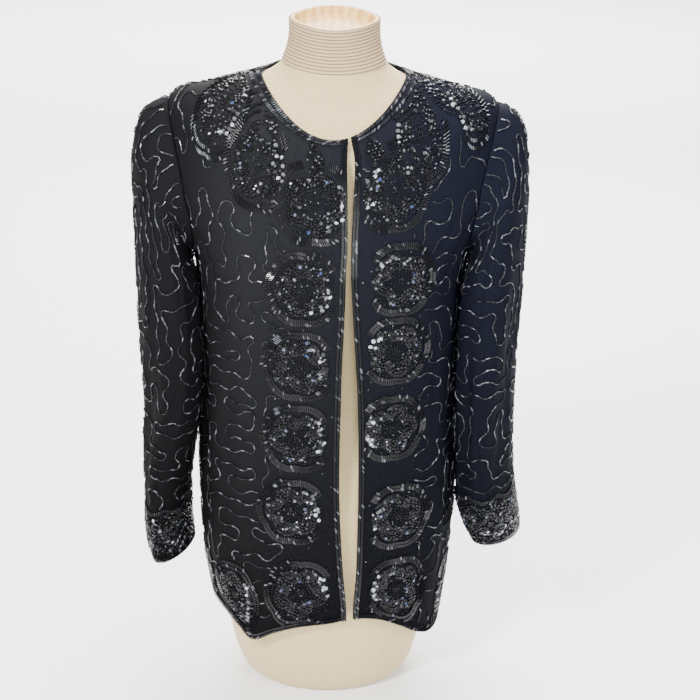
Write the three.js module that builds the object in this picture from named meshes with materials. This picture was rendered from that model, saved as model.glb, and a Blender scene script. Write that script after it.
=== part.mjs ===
// A beaded evening cardigan jacket, worn open on a limbless dress form that stands on its flat base.
// Millimetres, +Z up, the front faces -Y. Each piece that is cut and sewn on is one closed cloth wall.
// The body is a stack of rings from the hem to the neckline. A ring's angle is 0 at the middle of the
// front, positive towards +X, and 180 at the middle of the back.
import * as THREE from "three";

// Driving sizes
const WALL = 1.6; // beaded silk with its backing
const SEAM_GAP = 0.3; // between two panels at a seam
const ARMHOLE_GAP = 0.6; // between a panel's armhole edge and the sleeve
const EDGING_WIDTH = 8; // bead edging along the neck, fronts, hem and cuffs
const EDGING_LIFT = 0.7; // from a panel's surface to the edging's underside
const EDGING_THICK = 1.4;
const SLEEVE_CLEAR = 2.2; // from the body's cloth to a sleeve that hangs against it
const RIGHT_PAD_OUT = 60; // how far the sleeve head is thrown out over the shoulder pad
const LEFT_PAD_OUT = 51;
const PAD_DROP = 9; // how far the sleeve head has fallen by then
const UNDERARM_OUT = 12; // and at the underarm seam
const ARMHOLE_START = 5; // station of the underarm point
const ARMHOLE_END = 7; // station of the shoulder tip
const FRONT_CUT = 35; // degrees that the armhole bites into the front
const BACK_CUT = 30; // degrees that it bites into the back
const ROSETTE_RISE = 2.2; // thickness of a beaded rosette on the cloth
const BORDER_RISE = 1.6; // thickness of the beadwork that covers the cuffs
const CUFF_BAND = 84; // height of the beaded cuff

// Divisions
const FRONT_COLUMNS = 15;
const BACK_COLUMNS = 16;
const LOWER_ROWS = 20; // hem to underarm
const ARMHOLE_ROWS = 10; // underarm to shoulder tip
const YOKE_ROWS = 5; // shoulder tip to neckline
const CAP_ROWS = 6; // armhole to the top of the arm
const ARM_ROWS = 14; // top of the arm to the cuff
const FORM_SIDES = 28;

// Body rings: station, heights at the front, side and back, half width, depths to the front and back,
// and squareness of the section (2 is an ellipse).
const BODY = [
  [0, 100, 100, 100, 152, 112, 114, 2.2], // the hem; its own height is in HEM
  [1, 200, 200, 200, 164, 119, 122, 2.2],
  [2, 300, 300, 300, 168, 122, 126, 2.2],
  [3, 420, 420, 420, 167, 125, 119, 2.25],
  [4, 520, 520, 520, 168, 131, 112, 2.3],
  [5, 600, 600, 600, 171, 134, 108, 2.35], // underarm
  [6, 664, 690, 675, 206, 126, 104, 2.3],
  [7, 705, 783, 738, 197, 117, 97, 2.2], // shoulder tip
  [8, 733, 803, 789, 140, 106, 84, 2.1],
  [9, 754, 815, 826, 86, 93, 68, 2.0], // neckline
];
const NECKLINE = BODY.length - 1;

const HEM_AT_OPENING = 131; // height of the hem at the fronts' edges

// Hem: angle in degrees, height. It rises at the front opening and dips at each front's lower corner.
const HEM = [
  [-180, 97], [-130, 104], [-95, 115], [-75, 118], [-60, 115], [-47, 102], [-37, 87], [-24, 104],
  [-12, 117], [0, 124], [12, HEM_AT_OPENING], [24, 127], [38, 110], [50, 92], [65, 80], [90, 84],
  [120, 90], [180, 97],
];

// Front opening: height, x of the edge of the right front, x of the edge of the left front.
const OPENING = [
  [130, 27, 35.3], [150, 26.4, 35.4], [202, 21.5, 38], [246, 18.2, 38.3], [299, 15.3, 38.5],
  [376, 14, 37.2], [434, 14.5, 35.2], [481, 14.9, 32.4], [532, 16.3, 28.3], [570, 17.3, 25.6],
  [607, 17.7, 23.6], [640, 18.7, 23.4], [690, 17.8, 24.8], [732, 16.8, 25.2], [754, 17.7, 20.3],
];

// Sleeve rings from the top of the arm to the cuff: height, distance of the centre to the side, its y,
// half size across, half size front to back, and the turn in degrees that brings its front inwards.
const RIGHT_SLEEVE = [
  [560, 200, -28, 39, 70, 14],
  [480, 197, -32, 40, 66, 14],
  [400, 198, -30, 36, 62, 10],
  [330, 205, -24, 32, 58, 0],
  [260, 209, -16, 27, 57, -8],
  [215, 209, -11, 23, 55, -14],
  [180, 204, -9, 18, 51, -18],
];
const LEFT_SLEEVE = [
  [560, 198, -28, 39, 70, 12],
  [480, 196, -32, 38, 66, 14],
  [400, 198, -32, 36, 62, 16],
  [340, 201, -28, 36, 58, 18],
  [285, 206, -24, 36, 55, 22],
  [255, 212, -20, 34, 53, 26],
  [232, 219, -15, 30, 50, 30],
  [210, 226, -10, 26, 46, 32],
];

// Folds of the sleeves: place round the sleeve in turns (0 outside, 0.25 front), its drift over the
// length, height where it starts and ends, depth (below 0 is a ridge) and half width in turns.
const RIGHT_SLEEVE_FOLDS = [
  [0.33, 0.03, 690, 430, 6, 0.05],
  [0.2, -0.03, 560, 300, -3, 0.06],
  [0.12, 0.02, 640, 470, 3, 0.04],
  [0.75, 0.03, 660, 330, 4, 0.06],
  [0.9, -0.02, 520, 230, 3, 0.05],
];
const LEFT_SLEEVE_FOLDS = [
  [0.3, 0.02, 560, 250, 7, 0.045],
  [0.17, 0, 640, 300, -4, 0.06],
  [0.08, -0.02, 600, 420, 3, 0.04],
  [0.78, -0.03, 640, 300, 4, 0.06],
  [0.62, 0.02, 480, 230, 3, 0.05],
];

// Folds of the body: angle in degrees at the top, drift in degrees, stations where it starts and ends,
// depth (below 0 is a ridge) and half width in degrees.
const BODY_FOLDS = [
  [-52, -4, 0.2, 4.2, -3.5, 7],
  [-66, -3, 0.5, 4.9, 3.5, 6],
  [-28, -2, 0.8, 3.6, 2, 6],
  [52, 4, 0.2, 4.4, -3.5, 7],
  [68, 3, 0.6, 4.9, 4, 6],
  [76, -6, 4, 5.8, 3, 6],
  [-77, 5, 4, 5.8, 3, 6],
  [118, 3, 0.3, 4.6, 4, 8],
  [142, -2, 0.2, 3.9, -4, 8],
  [168, 3, 0.3, 4.4, 3.5, 8],
  [-164, -2, 0.4, 4.1, -3.5, 8],
  [-140, 4, 0.2, 4.7, 4, 8],
  [-114, -3, 0.5, 4.3, -3, 7],
];

// Beaded rosettes: angle in degrees, station, radius.
const ROSETTES = [
  // up the right front, its shoulder and its corner
  [-10, 0.65, 35], [-13, 1.9, 34], [-11, 2.75, 34], [-10, 3.65, 34], [-8, 4.8, 34], [-4, 6.45, 36],
  [-25, 7.2, 32], [-41, 8.6, 20], [-64, 8.0, 29], [-46, 0.5, 27],
  // up the left front, its shoulder and its corner
  [32, 0.65, 34], [30, 1.8, 34], [25, 2.85, 33], [25, 3.85, 33], [25, 4.95, 33], [18, 6.75, 34],
  [41, 7.85, 30], [74, 8.4, 20], [72, 7.7, 22], [78, 0.45, 26],
  // across the back's hem
  [115, 0.5, 28], [147, 0.5, 30], [180, 0.6, 34], [-147, 0.5, 30], [-115, 0.5, 28], [-80, 0.5, 24],
  // across the back's yoke
  [112, 8.1, 26], [142, 8.2, 28], [180, 8.1, 34], [-142, 8.2, 28], [-112, 8.1, 26],
  // down the back's middle
  [180, 7.0, 32], [180, 5.9, 28],
];

// Dress form below its shoulders: heights at the front, side and back, half width, depths to the front
// and back.
const FORM_TORSO = [
  [0, 0, 0, 96, 74, 76],
  [3, 3, 3, 104, 80, 83],
  [14, 14, 14, 114, 87, 91],
  [36, 36, 36, 122, 93, 98],
  [70, 70, 70, 130, 97, 104],
  [120, 120, 120, 138, 101, 108],
  [190, 190, 190, 147, 106, 114],
  [260, 260, 260, 152, 109, 118],
  [330, 330, 330, 146, 104, 108],
  [400, 400, 400, 129, 93, 91],
  [460, 460, 460, 116, 88, 84],
  [510, 510, 510, 121, 92, 86],
  [560, 560, 560, 132, 104, 90],
  [605, 605, 605, 141, 116, 94],
  [640, 650, 645, 149, 116, 96],
  [680, 708, 695, 163, 106, 90],
];

// Shoulders of the form, inside the jacket's yoke: the jacket's station, how much lower the form is, how
// much narrower at the side and how much shallower at the front and back.
const FORM_YOKE = [
  [7.4, 9, 9, 9],
  [8, 2.5, 1, 5],
  [8.5, 2.5, 1, 5],
  [9, 2.7, 2, 6],
];

// Slope of the form from its shoulders up to the foot of the neck band, as the torso
const FORM_NECK_SLOPE = [790, 822, 833, 69, 67, 58];

// The form's neck inside the band: shares of the band's height, and its clearance.
const NECK_SHARES = [0, 0.14, 0.28, 0.42, 0.55];
const NECK_CLEAR = 0.5;

// Ribbed band round the neck, its foot and its rim, as the torso.
const BAND_FOOT = [823, 829.6, 840.6, 63, 62, 55];
const BAND_RIM = [872, 880, 887, 54.5, 53, 52];
const BAND_WAIST = 3.5; // how far the band draws in between its foot and its rim
const BAND_THICK = 1.8;
const BAND_RIBS = 13;
const RIB_DEPTH = 0.7;
const BAND_INNER_STEPS = 6;

// Turned wooden cap let into the top of the band, with a dish in it
const CAP_GAP = 0.4;
const CAP_FOOT_SHARE = 0.6; // of the band's height
const CAP_DISH_DEPTH = 11;
const CAP_RIM_WIDTH = 3;
const CAP_DISH_SLOPE = 5;

const BLACK_CLOTH = { color: 0x26262b, roughness: 0.75, metalness: 0 };
const BLACK_BEADS = { color: 0x0b0b0d, roughness: 0.25, metalness: 0.3 };
const JERSEY = { color: 0xe6dfd2, roughness: 0.85, metalness: 0 };
const WOOD = { color: 0xd9b98a, roughness: 0.45, metalness: 0 };

const radians = THREE.MathUtils.degToRad;

// A smooth curve through one column of a table whose first column rises or falls steadily.
function along(table, column, t) {
  const first = table[0][0];
  const last = table[table.length - 1][0];
  const at = THREE.MathUtils.clamp(t, Math.min(first, last), Math.max(first, last));
  let i = 0;
  while (i < table.length - 2 && (table[i + 1][0] - at) * Math.sign(last - first) < 0) i += 1;
  const slope = (k) => {
    const a = table[Math.max(k - 1, 0)];
    const b = table[Math.min(k + 1, table.length - 1)];
    return (b[column] - a[column]) / (b[0] - a[0]);
  };
  const step = table[i + 1][0] - table[i][0];
  const f = (at - table[i][0]) / step;
  return (
    (2 * f ** 3 - 3 * f ** 2 + 1) * table[i][column] +
    (f ** 3 - 2 * f ** 2 + f) * slope(i) * step +
    (3 * f ** 2 - 2 * f ** 3) * table[i + 1][column] +
    (f ** 3 - f ** 2) * slope(i + 1) * step
  );
}

const power = (value, exponent) => Math.sign(value) * Math.abs(value) ** exponent;

// A bell that is 1 in the middle and 0 beyond half a width on each side.
function bell(distance, halfWidth) {
  const t = Math.min(Math.abs(distance) / halfWidth, 1);
  return (1 - t * t) ** 2;
}

// A point on a ring whose sizes are [front z, side z, back z, half width, front depth, back depth].
function ringPoint(sizes, squareness, angle) {
  const [zFront, zSide, zBack, halfWidth, frontDepth, backDepth] = sizes;
  const s = Math.sin(angle);
  const c = Math.cos(angle);
  const zEnd = c >= 0 ? zFront : zBack;
  return new THREE.Vector3(
    halfWidth * power(s, 2 / squareness),
    -(c >= 0 ? frontDepth : backDepth) * power(c, 2 / squareness),
    zEnd + (zSide - zEnd) * s * s,
  );
}

const bodySizes = (station) => [1, 2, 3, 4, 5, 6].map((column) => along(BODY, column, station));

// An angle in radians as degrees from -180 to 180.
const wrapDegrees = (angle) =>
  THREE.MathUtils.euclideanModulo(THREE.MathUtils.radToDeg(angle) + 180, 360) - 180;

// The body's surface without folds.
function bodyPoint(angle, station) {
  const point = ringPoint(bodySizes(station), along(BODY, 7, station), angle);
  if (station < 1) {
    const hem = along(HEM, 1, wrapDegrees(angle));
    point.z = THREE.MathUtils.lerp(hem, BODY[1][1], station);
  }
  return point;
}

function normalAt(surface, u, v, du, dv) {
  const across = surface(u + du, v).sub(surface(u - du, v));
  const up = surface(u, v + dv).sub(surface(u, v - dv));
  return across.cross(up).normalize();
}

const bodyNormal = (angle, station) =>
  normalAt(bodyPoint, angle, THREE.MathUtils.clamp(station, 0.01, NECKLINE - 0.01), 0.01, 0.01);

// How far the cloth stands out of the plain surface in its drape folds.
function bodyFold(angle, station) {
  const degrees = wrapDegrees(angle);
  return BODY_FOLDS.reduce((sum, [top, drift, low, high, depth, halfWidth]) => {
    const place = top + (drift * (high - station)) / (high - low);
    const apart = wrapDegrees(radians(degrees - place));
    const lengthwise = bell(station - (low + high) / 2, (high - low) / 2 + 0.3);
    return sum - depth * bell(apart, halfWidth * 1.6) * lengthwise;
  }, 0);
}

// The cloth's surface: the plain one with its folds.
function clothPoint(angle, station) {
  return bodyPoint(angle, station).addScaledVector(bodyNormal(angle, station), bodyFold(angle, station));
}

const rosetteCentres = ROSETTES.map(([angle, station, radius]) => ({
  centre: clothPoint(radians(angle), station),
  radius,
}));

// Thickness of the beadwork at a point of the body's cloth.
function bodyRelief(point, margin) {
  const height = rosetteCentres.reduce((most, { centre, radius }) => {
    const t = Math.min(point.distanceTo(centre) / radius, 1);
    return Math.max(most, ROSETTE_RISE * (1 - t ** 4));
  }, 0);
  return height * THREE.MathUtils.smoothstep(margin, EDGING_WIDTH, EDGING_WIDTH * 1.6);
}

// Angle at which a panel meets its neighbour: the seam at the side, or the armhole's edge.
function panelEnd(station, isFront) {
  const depth = along(BODY, isFront ? 5 : 6, station);
  const squareness = along(BODY, 7, station);
  const seam = Math.acos((SEAM_GAP / 2 / depth) ** (squareness / 2));
  const t = (station - ARMHOLE_START) / (ARMHOLE_END - ARMHOLE_START);
  const bite = t > 0 && t < 1 ? 2 * Math.sqrt(t * (1 - t)) : 0;
  const end = Math.min(seam, Math.PI / 2 - radians(isFront ? FRONT_CUT : BACK_CUT) * bite);
  return isFront ? end : Math.PI - end;
}

// Angle of a front's opening edge at a station.
function openingAngle(station, side) {
  const height = along(BODY, 1, Math.max(station, 1));
  const z = station < 1 ? THREE.MathUtils.lerp(HEM_AT_OPENING, height, station) : height;
  const x = along(OPENING, side < 0 ? 1 : 2, z);
  const share = x / along(BODY, 4, station);
  return Math.asin(share ** (along(BODY, 7, station) / 2));
}

const evenly = (count, from, to) =>
  Array.from({ length: count + 1 }, (_, i) => from + ((to - from) * i) / count);

// Stations of a panel's rows: even below the underarm, closer at both ends of the armhole.
const PANEL_STATIONS = [
  ...evenly(LOWER_ROWS, 0, ARMHOLE_START).slice(0, -1),
  ...evenly(ARMHOLE_ROWS, 0, 1)
    .slice(0, -1)
    .map((k) => ARMHOLE_START + ((ARMHOLE_END - ARMHOLE_START) * (1 - Math.cos(Math.PI * k))) / 2),
  ...evenly(YOKE_ROWS, ARMHOLE_END, NECKLINE),
];

// A closed wall between two grids of points. The outer grid is seen with rows up and columns to the right.
// A ring wall closes on itself along its columns.
function wallGeometry(outer, inner, isRing = false) {
  const rows = outer.length;
  const columns = outer[0].length;
  const points = [...outer.flat(), ...inner.flat()];
  const index = (layer, row, column) => layer * rows * columns + row * columns + (column % columns);
  const faces = [];
  const quad = (a, b, c, d) => {
    const across = points[a].distanceTo(points[c]) <= points[b].distanceTo(points[d]);
    faces.push(...(across ? [a, b, c, a, c, d] : [b, c, d, b, d, a]));
  };
  const lastColumn = isRing ? columns : columns - 1;
  for (let row = 0; row < rows - 1; row += 1) {
    for (let column = 0; column < lastColumn; column += 1) {
      quad(
        index(0, row, column),
        index(0, row, column + 1),
        index(0, row + 1, column + 1),
        index(0, row + 1, column),
      );
      quad(
        index(1, row, column),
        index(1, row + 1, column),
        index(1, row + 1, column + 1),
        index(1, row, column + 1),
      );
    }
    if (!isRing) {
      const end = columns - 1;
      quad(index(0, row, 0), index(0, row + 1, 0), index(1, row + 1, 0), index(1, row, 0));
      quad(index(0, row, end), index(1, row, end), index(1, row + 1, end), index(0, row + 1, end));
    }
  }
  const top = rows - 1;
  for (let column = 0; column < lastColumn; column += 1) {
    quad(index(0, 0, column), index(1, 0, column), index(1, 0, column + 1), index(0, 0, column + 1));
    quad(index(0, top, column), index(0, top, column + 1), index(1, top, column + 1), index(1, top, column));
  }
  const geometry = new THREE.BufferGeometry().setFromPoints(points);
  geometry.setIndex(faces);
  geometry.computeVertexNormals();
  return geometry;
}

function named(name, geometry, finish) {
  const mesh = new THREE.Mesh(geometry, new THREE.MeshStandardMaterial(finish));
  mesh.name = name;
  return mesh;
}

// Distance from a point of the body to the nearest beaded edge: the hem, the neckline or the opening.
function edgeMargin(angle, station, point) {
  const toHem = point.distanceTo(clothPoint(angle, 0));
  const toNeck = point.distanceTo(clothPoint(angle, NECKLINE));
  const toOpening = [-1, 1].map((side) =>
    point.distanceTo(clothPoint(openingAngle(station, side), station)),
  );
  return Math.min(toHem, toNeck, ...toOpening);
}

// A body panel between two edges, given as angles by station: rows of its outer and inner points.
function panel(columns, start, end) {
  const outer = [];
  const inner = [];
  const normals = [];
  for (const station of PANEL_STATIONS) {
    const angles = evenly(columns, start(station), end(station));
    const cloth = angles.map((angle) => clothPoint(angle, station));
    const facing = angles.map((angle) => bodyNormal(angle, station));
    normals.push(facing);
    inner.push(cloth.map((point, i) => point.clone().addScaledVector(facing[i], -WALL)));
    outer.push(
      cloth.map((point, i) => {
        const relief = bodyRelief(point, edgeMargin(angles[i], station, point));
        return point.clone().addScaledVector(facing[i], relief);
      }),
    );
  }
  return { outer, inner, normals };
}

const frontEnd = (station) => panelEnd(station, true);
const backStart = (station) => panelEnd(station, false);
const frontRight = panel(FRONT_COLUMNS, (s) => -frontEnd(s), (s) => openingAngle(s, -1));
const frontLeft = panel(FRONT_COLUMNS, (s) => openingAngle(s, 1), frontEnd);
const back = panel(BACK_COLUMNS, backStart, (s) => 2 * Math.PI - backStart(s));

// The armhole's edge, by turns round it: 0 at the shoulder tip, 0.25 in front, 0.5 at the underarm.
function armholePoint(turn, side) {
  const isFront = turn <= 0.5;
  const k = isFront ? 1 - 2 * turn : 2 * turn - 1;
  const station = ARMHOLE_START + ((ARMHOLE_END - ARMHOLE_START) * (1 - Math.cos(Math.PI * k))) / 2;
  const point = clothPoint(side * panelEnd(station, isFront), station);
  if (k < 1e-6 || k > 1 - 1e-6) point.y = 0;
  point.x += side * ARMHOLE_GAP;
  return point;
}

// The body's half width at a height below the underarm, where its section crosses y.
function bodyReach(y, z) {
  const heights = BODY.slice(0, ARMHOLE_START + 1).map((row) => [
    row[1],
    row[4],
    y < 0 ? row[5] : row[6],
    row[7],
  ]);
  const [halfWidth, depth, squareness] = [1, 2, 3].map((column) => along(heights, column, z));
  return halfWidth * Math.max(1 - Math.abs(y / depth) ** squareness, 0) ** (1 / squareness);
}

function sleeveRing(table, z, turn, side) {
  const [x, y, across, deep, lean] = [1, 2, 3, 4, 5].map((column) => along(table, column, z));
  const u = across * Math.cos(2 * Math.PI * turn);
  const v = -deep * Math.sin(2 * Math.PI * turn);
  const w = radians(lean);
  return new THREE.Vector3(
    side * (x + u * Math.cos(w) + v * Math.sin(w)),
    y - u * Math.sin(w) + v * Math.cos(w),
    z,
  );
}

// The sleeve's surface: rows 0 to 1 are the cap, from the armhole to the top of the arm, and 1 to 2 the arm.
function sleevePoint(table, turn, row, side) {
  const armTop = table[0][0];
  const cuff = table[table.length - 1][0];
  if (row > 1) {
    const point = sleeveRing(table, THREE.MathUtils.lerp(armTop, cuff, row - 1), turn, side);
    return clearOfBody(point, side, SLEEVE_CLEAR);
  }
  const start = armholePoint(turn, side);
  const end = sleeveRing(table, armTop, turn, side);
  const outside = 0.5 + 0.5 * Math.cos(2 * Math.PI * turn);
  const throwOut = UNDERARM_OUT + ((side < 0 ? RIGHT_PAD_OUT : LEFT_PAD_OUT) - UNDERARM_OUT) * outside;
  const leave = start.clone().add(new THREE.Vector3(side * throwOut, 0, -PAD_DROP * outside));
  const rise = Math.max((start.z - end.z) * (0.55 + 0.13 * outside), 12);
  const arrive = end.clone().add(new THREE.Vector3(0, 0, rise));
  const point = new THREE.CubicBezierCurve3(start, leave, arrive, end).getPoint(row);
  return clearOfBody(point, side, THREE.MathUtils.lerp(ARMHOLE_GAP, SLEEVE_CLEAR, Math.min(row * 4, 1)));
}

// Keeps a sleeve's point outside the body's cloth.
function clearOfBody(point, side, clearance) {
  if (point.z > BODY[ARMHOLE_START][1] + 4) return point;
  const reach = bodyReach(point.y, point.z);
  if (reach > 0) point.x = side * Math.max(side * point.x, reach + clearance);
  return point;
}

function sleeveFold(folds, turn, z) {
  return folds.reduce((sum, [place, drift, high, low, depth, halfWidth]) => {
    const centre = place + (drift * (high - z)) / (high - low);
    const apart = THREE.MathUtils.euclideanModulo(turn - centre + 0.5, 1) - 0.5;
    return sum - depth * bell(apart, halfWidth * 1.5) * bell(z - (high + low) / 2, (high - low) / 2 + 20);
  }, 0);
}

const sleeveNormal = (table, turn, row, side) => {
  const at = THREE.MathUtils.clamp(row, 0.02, 1.98);
  return normalAt((u, v) => sleevePoint(table, u, v, side), turn, at, 0.01, 0.02).multiplyScalar(side);
};

// One row of a sleeve's points, moved out of its surface by `lift`, with the folds in it.
function sleeveRow(table, folds, row, side, lift) {
  return evenly(2 * ARMHOLE_ROWS, 0, 1)
    .slice(0, -1)
    .map((turn) => {
      const point = sleevePoint(table, turn, row, side);
      const normal = sleeveNormal(table, turn, row, side);
      const onBody = bell(turn - 0.5, 0.24);
      const fold = sleeveFold(folds, turn, point.z) * (1 - onBody) * THREE.MathUtils.smoothstep(row, 0, 0.5);
      return point.addScaledVector(normal, fold + lift(turn, point));
    });
}

function sleeve(name, table, folds, side) {
  const cuff = table[table.length - 1][0];
  const band = (turn, point) => {
    const height = point.z - cuff;
    const scallop = CUFF_BAND - 8 * Math.abs(Math.sin(6 * Math.PI * turn));
    const off = THREE.MathUtils.smoothstep(height, EDGING_WIDTH, EDGING_WIDTH * 1.8);
    return BORDER_RISE * off * (1 - THREE.MathUtils.smoothstep(height, scallop - 8, scallop));
  };
  const rows = [...evenly(CAP_ROWS, 0, 1), ...evenly(ARM_ROWS, 1, 2).slice(1)];
  const outer = rows.map((row) => sleeveRow(table, folds, row, side, band));
  const inner = rows.map((row) => sleeveRow(table, folds, row, side, () => -WALL));
  const isTurned = side < 0;
  const geometry = isTurned ? wallGeometry(inner, outer, true) : wallGeometry(outer, inner, true);
  return named(name, geometry, BLACK_CLOTH);
}

// A place on a panel's outer face and its normal, between the points of its grid.
function onPanel({ outer, normals }, row, column) {
  const r = Math.min(Math.floor(row), outer.length - 2);
  const c = Math.min(Math.floor(column), outer[0].length - 2);
  const blend = (grid) => {
    const low = grid[r][c].clone().lerp(grid[r][c + 1], column - c);
    const high = grid[r + 1][c].clone().lerp(grid[r + 1][c + 1], column - c);
    return low.lerp(high, row - r);
  };
  return { point: blend(outer), normal: blend(normals).normalize() };
}

// A strip of edging laid on places of the panels: two lines, the lower or left-hand one first.
function edging(name, lines) {
  const lifted = (lift) =>
    lines.map((line) => line.map(({ point, normal }) => point.clone().addScaledVector(normal, lift)));
  const geometry = wallGeometry(lifted(EDGING_LIFT + EDGING_THICK), lifted(EDGING_LIFT));
  return named(name, geometry, BLACK_BEADS);
}

// How much of a grid's first or last step, between two points, a width takes up.
const shareOf = (width, a, b) => width / a.distanceTo(b);

function neckEdging() {
  const top = PANEL_STATIONS.length - 1;
  const places = [frontLeft, back, frontRight].flatMap((grid) =>
    grid.outer[top].map((point, column) => ({ grid, column, point })),
  );
  const upper = places.map(({ grid, column }) => onPanel(grid, top, column));
  const lower = places.map(({ grid, column, point }) =>
    onPanel(grid, top - shareOf(EDGING_WIDTH, point, grid.outer[top - 1][column]), column),
  );
  return edging("neck_edging", [lower, upper]);
}

// Column share of the opening's edging in one row of a front.
function openingShare(grid, row, isRight, width) {
  const line = isRight ? grid.outer[row].toReversed() : grid.outer[row];
  const share = shareOf(width, line[0], line[1]);
  return isRight ? line.length - 1 - share : share;
}

function frontEdging(name, grid, isRight) {
  const top = PANEL_STATIONS.length - 1;
  const edgeColumn = isRight ? FRONT_COLUMNS : 0;
  const belowNeck = shareOf(EDGING_WIDTH + 1, grid.outer[top][edgeColumn], grid.outer[top - 1][edgeColumn]);
  const rows = [...Array(top).keys(), top - belowNeck];
  const edge = rows.map((row) => onPanel(grid, row, edgeColumn));
  const away = rows.map((row) => {
    const share = openingShare(grid, Math.round(row), isRight, EDGING_WIDTH);
    return onPanel(grid, row, share);
  });
  return edging(name, isRight ? [edge, away] : [away, edge]);
}

function hemEdging(name, grid, columns) {
  const edge = columns.map((column) => onPanel(grid, 0, column));
  const above = columns.map((column) => {
    const low = onPanel(grid, 0, column).point;
    return onPanel(grid, shareOf(EDGING_WIDTH, low, onPanel(grid, 1, column).point), column);
  });
  return edging(name, [edge, above]);
}

function hemEdgings() {
  const columns = [...Array(FRONT_COLUMNS + 1).keys()];
  const rightEnd = openingShare(frontRight, 0, true, EDGING_WIDTH + 1);
  const leftStart = openingShare(frontLeft, 0, false, EDGING_WIDTH + 1);
  return [
    hemEdging("hem_edging_right", frontRight, [...columns.filter((c) => c < rightEnd - 0.1), rightEnd]),
    hemEdging("hem_edging_left", frontLeft, [leftStart, ...columns.filter((c) => c > leftStart + 0.1)]),
    hemEdging("hem_edging_back", back, [...Array(BACK_COLUMNS + 1).keys()]),
  ];
}

function cuffEdging(name, table, folds, side) {
  const length = table[0][0] - table[table.length - 1][0];
  const rows = [2 - EDGING_WIDTH / length, 2];
  const outer = rows.map((row) => sleeveRow(table, folds, row, side, () => EDGING_LIFT + EDGING_THICK));
  const inner = rows.map((row) => sleeveRow(table, folds, row, side, () => EDGING_LIFT));
  const geometry = side < 0 ? wallGeometry(inner, outer, true) : wallGeometry(outer, inner, true);
  return named(name, geometry, BLACK_BEADS);
}

// A solid from closed rings of points, bottom to top. It has flat ends, or its last ring meets its first.
function ringSolid(rings, isTube = false) {
  const sides = rings[0].length;
  const points = rings.flat();
  const faces = [];
  for (let row = 0; row < rings.length - (isTube ? 0 : 1); row += 1) {
    const low = row * sides;
    const high = ((row + 1) % rings.length) * sides;
    for (let i = 0; i < sides; i += 1) {
      const next = (i + 1) % sides;
      faces.push(low + i, low + next, high + next, low + i, high + next, high + i);
    }
  }
  const top = (rings.length - 1) * sides;
  for (let i = 1; i < sides - 1 && !isTube; i += 1) {
    faces.push(0, i + 1, i);
    faces.push(top, top + i, top + i + 1);
  }
  const geometry = new THREE.BufferGeometry().setFromPoints(points);
  geometry.setIndex(faces);
  geometry.computeVertexNormals();
  return geometry;
}

const roundRing = (sizes) =>
  evenly(FORM_SIDES, 0, 2 * Math.PI)
    .slice(0, -1)
    .map((angle) => ringPoint(sizes, 2, angle));

// A ring of the neck band at a share of its height, moved outwards.
function bandRing(share, out) {
  const drawnIn = BAND_WAIST * Math.sin(Math.PI * share);
  return roundRing(
    BAND_FOOT.map((foot, i) => THREE.MathUtils.lerp(foot, BAND_RIM[i], share) + (i > 2 ? out - drawnIn : 0)),
  );
}

function dressForm() {
  const yoke = FORM_YOKE.map(([station, lower, narrower, shallower]) => {
    const [zFront, zSide, zBack, halfWidth, frontDepth, backDepth] = bodySizes(station);
    return [
      zFront - lower,
      zSide - lower,
      zBack - lower,
      halfWidth - narrower,
      frontDepth - shallower,
      backDepth - shallower,
    ];
  });
  const neck = NECK_SHARES.map((share) => bandRing(share, -BAND_THICK - NECK_CLEAR));
  const rings = [...[...FORM_TORSO, ...yoke, FORM_NECK_SLOPE].map(roundRing), ...neck];
  return named("dress_form", ringSolid(rings), JERSEY);
}

// The ribbed band: ribs in its outer face over a plain inside.
function neckBand() {
  const outer = evenly(2 * BAND_RIBS, 0, 1).map((share, i) => bandRing(share, i % 2 === 0 ? -RIB_DEPTH : 0));
  const inner = evenly(BAND_INNER_STEPS, 1, 0).map((share) => bandRing(share, -BAND_THICK));
  return named("neck_ribbing", ringSolid([...outer, ...inner], true), JERSEY);
}

// The cap stands in the band, clear of it and of the form below. Its dish is level with the rim.
function neckCap() {
  const wall = (share, inset) => bandRing(share, -BAND_THICK - CAP_GAP - inset);
  const dish = (drop, inset) =>
    roundRing(BAND_RIM.map((size, i) => (i > 2 ? size - BAND_THICK - CAP_GAP - inset : size - drop)));
  const floorEdge = CAP_RIM_WIDTH + CAP_DISH_SLOPE;
  const rings = [
    wall(CAP_FOOT_SHARE, 1),
    wall((CAP_FOOT_SHARE + 1) / 2, 0),
    wall(0.98, 0),
    dish(0, 1),
    dish(0, CAP_RIM_WIDTH),
    dish(1.5, CAP_RIM_WIDTH + 1),
    dish(CAP_DISH_DEPTH - 2, floorEdge),
    dish(CAP_DISH_DEPTH, floorEdge + 3),
  ];
  return named("neck_cap", ringSolid(rings), WOOD);
}

const jacket = new THREE.Group();
jacket.add(
  dressForm(),
  neckBand(),
  neckCap(),
  named("front_right", wallGeometry(frontRight.outer, frontRight.inner), BLACK_CLOTH),
  named("front_left", wallGeometry(frontLeft.outer, frontLeft.inner), BLACK_CLOTH),
  named("back", wallGeometry(back.outer, back.inner), BLACK_CLOTH),
  sleeve("sleeve_right", RIGHT_SLEEVE, RIGHT_SLEEVE_FOLDS, -1),
  sleeve("sleeve_left", LEFT_SLEEVE, LEFT_SLEEVE_FOLDS, 1),
  neckEdging(),
  frontEdging("front_edging_right", frontRight, true),
  frontEdging("front_edging_left", frontLeft, false),
  ...hemEdgings(),
  cuffEdging("cuff_edging_right", RIGHT_SLEEVE, RIGHT_SLEEVE_FOLDS, -1),
  cuffEdging("cuff_edging_left", LEFT_SLEEVE, LEFT_SLEEVE_FOLDS, 1),
);

// The origin is on the floor, under the middle of the whole object's box.
const middle = new THREE.Box3().setFromObject(jacket, true).getCenter(new THREE.Vector3());
jacket.position.set(-middle.x, -middle.y, 0);

export default jacket;
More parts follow.
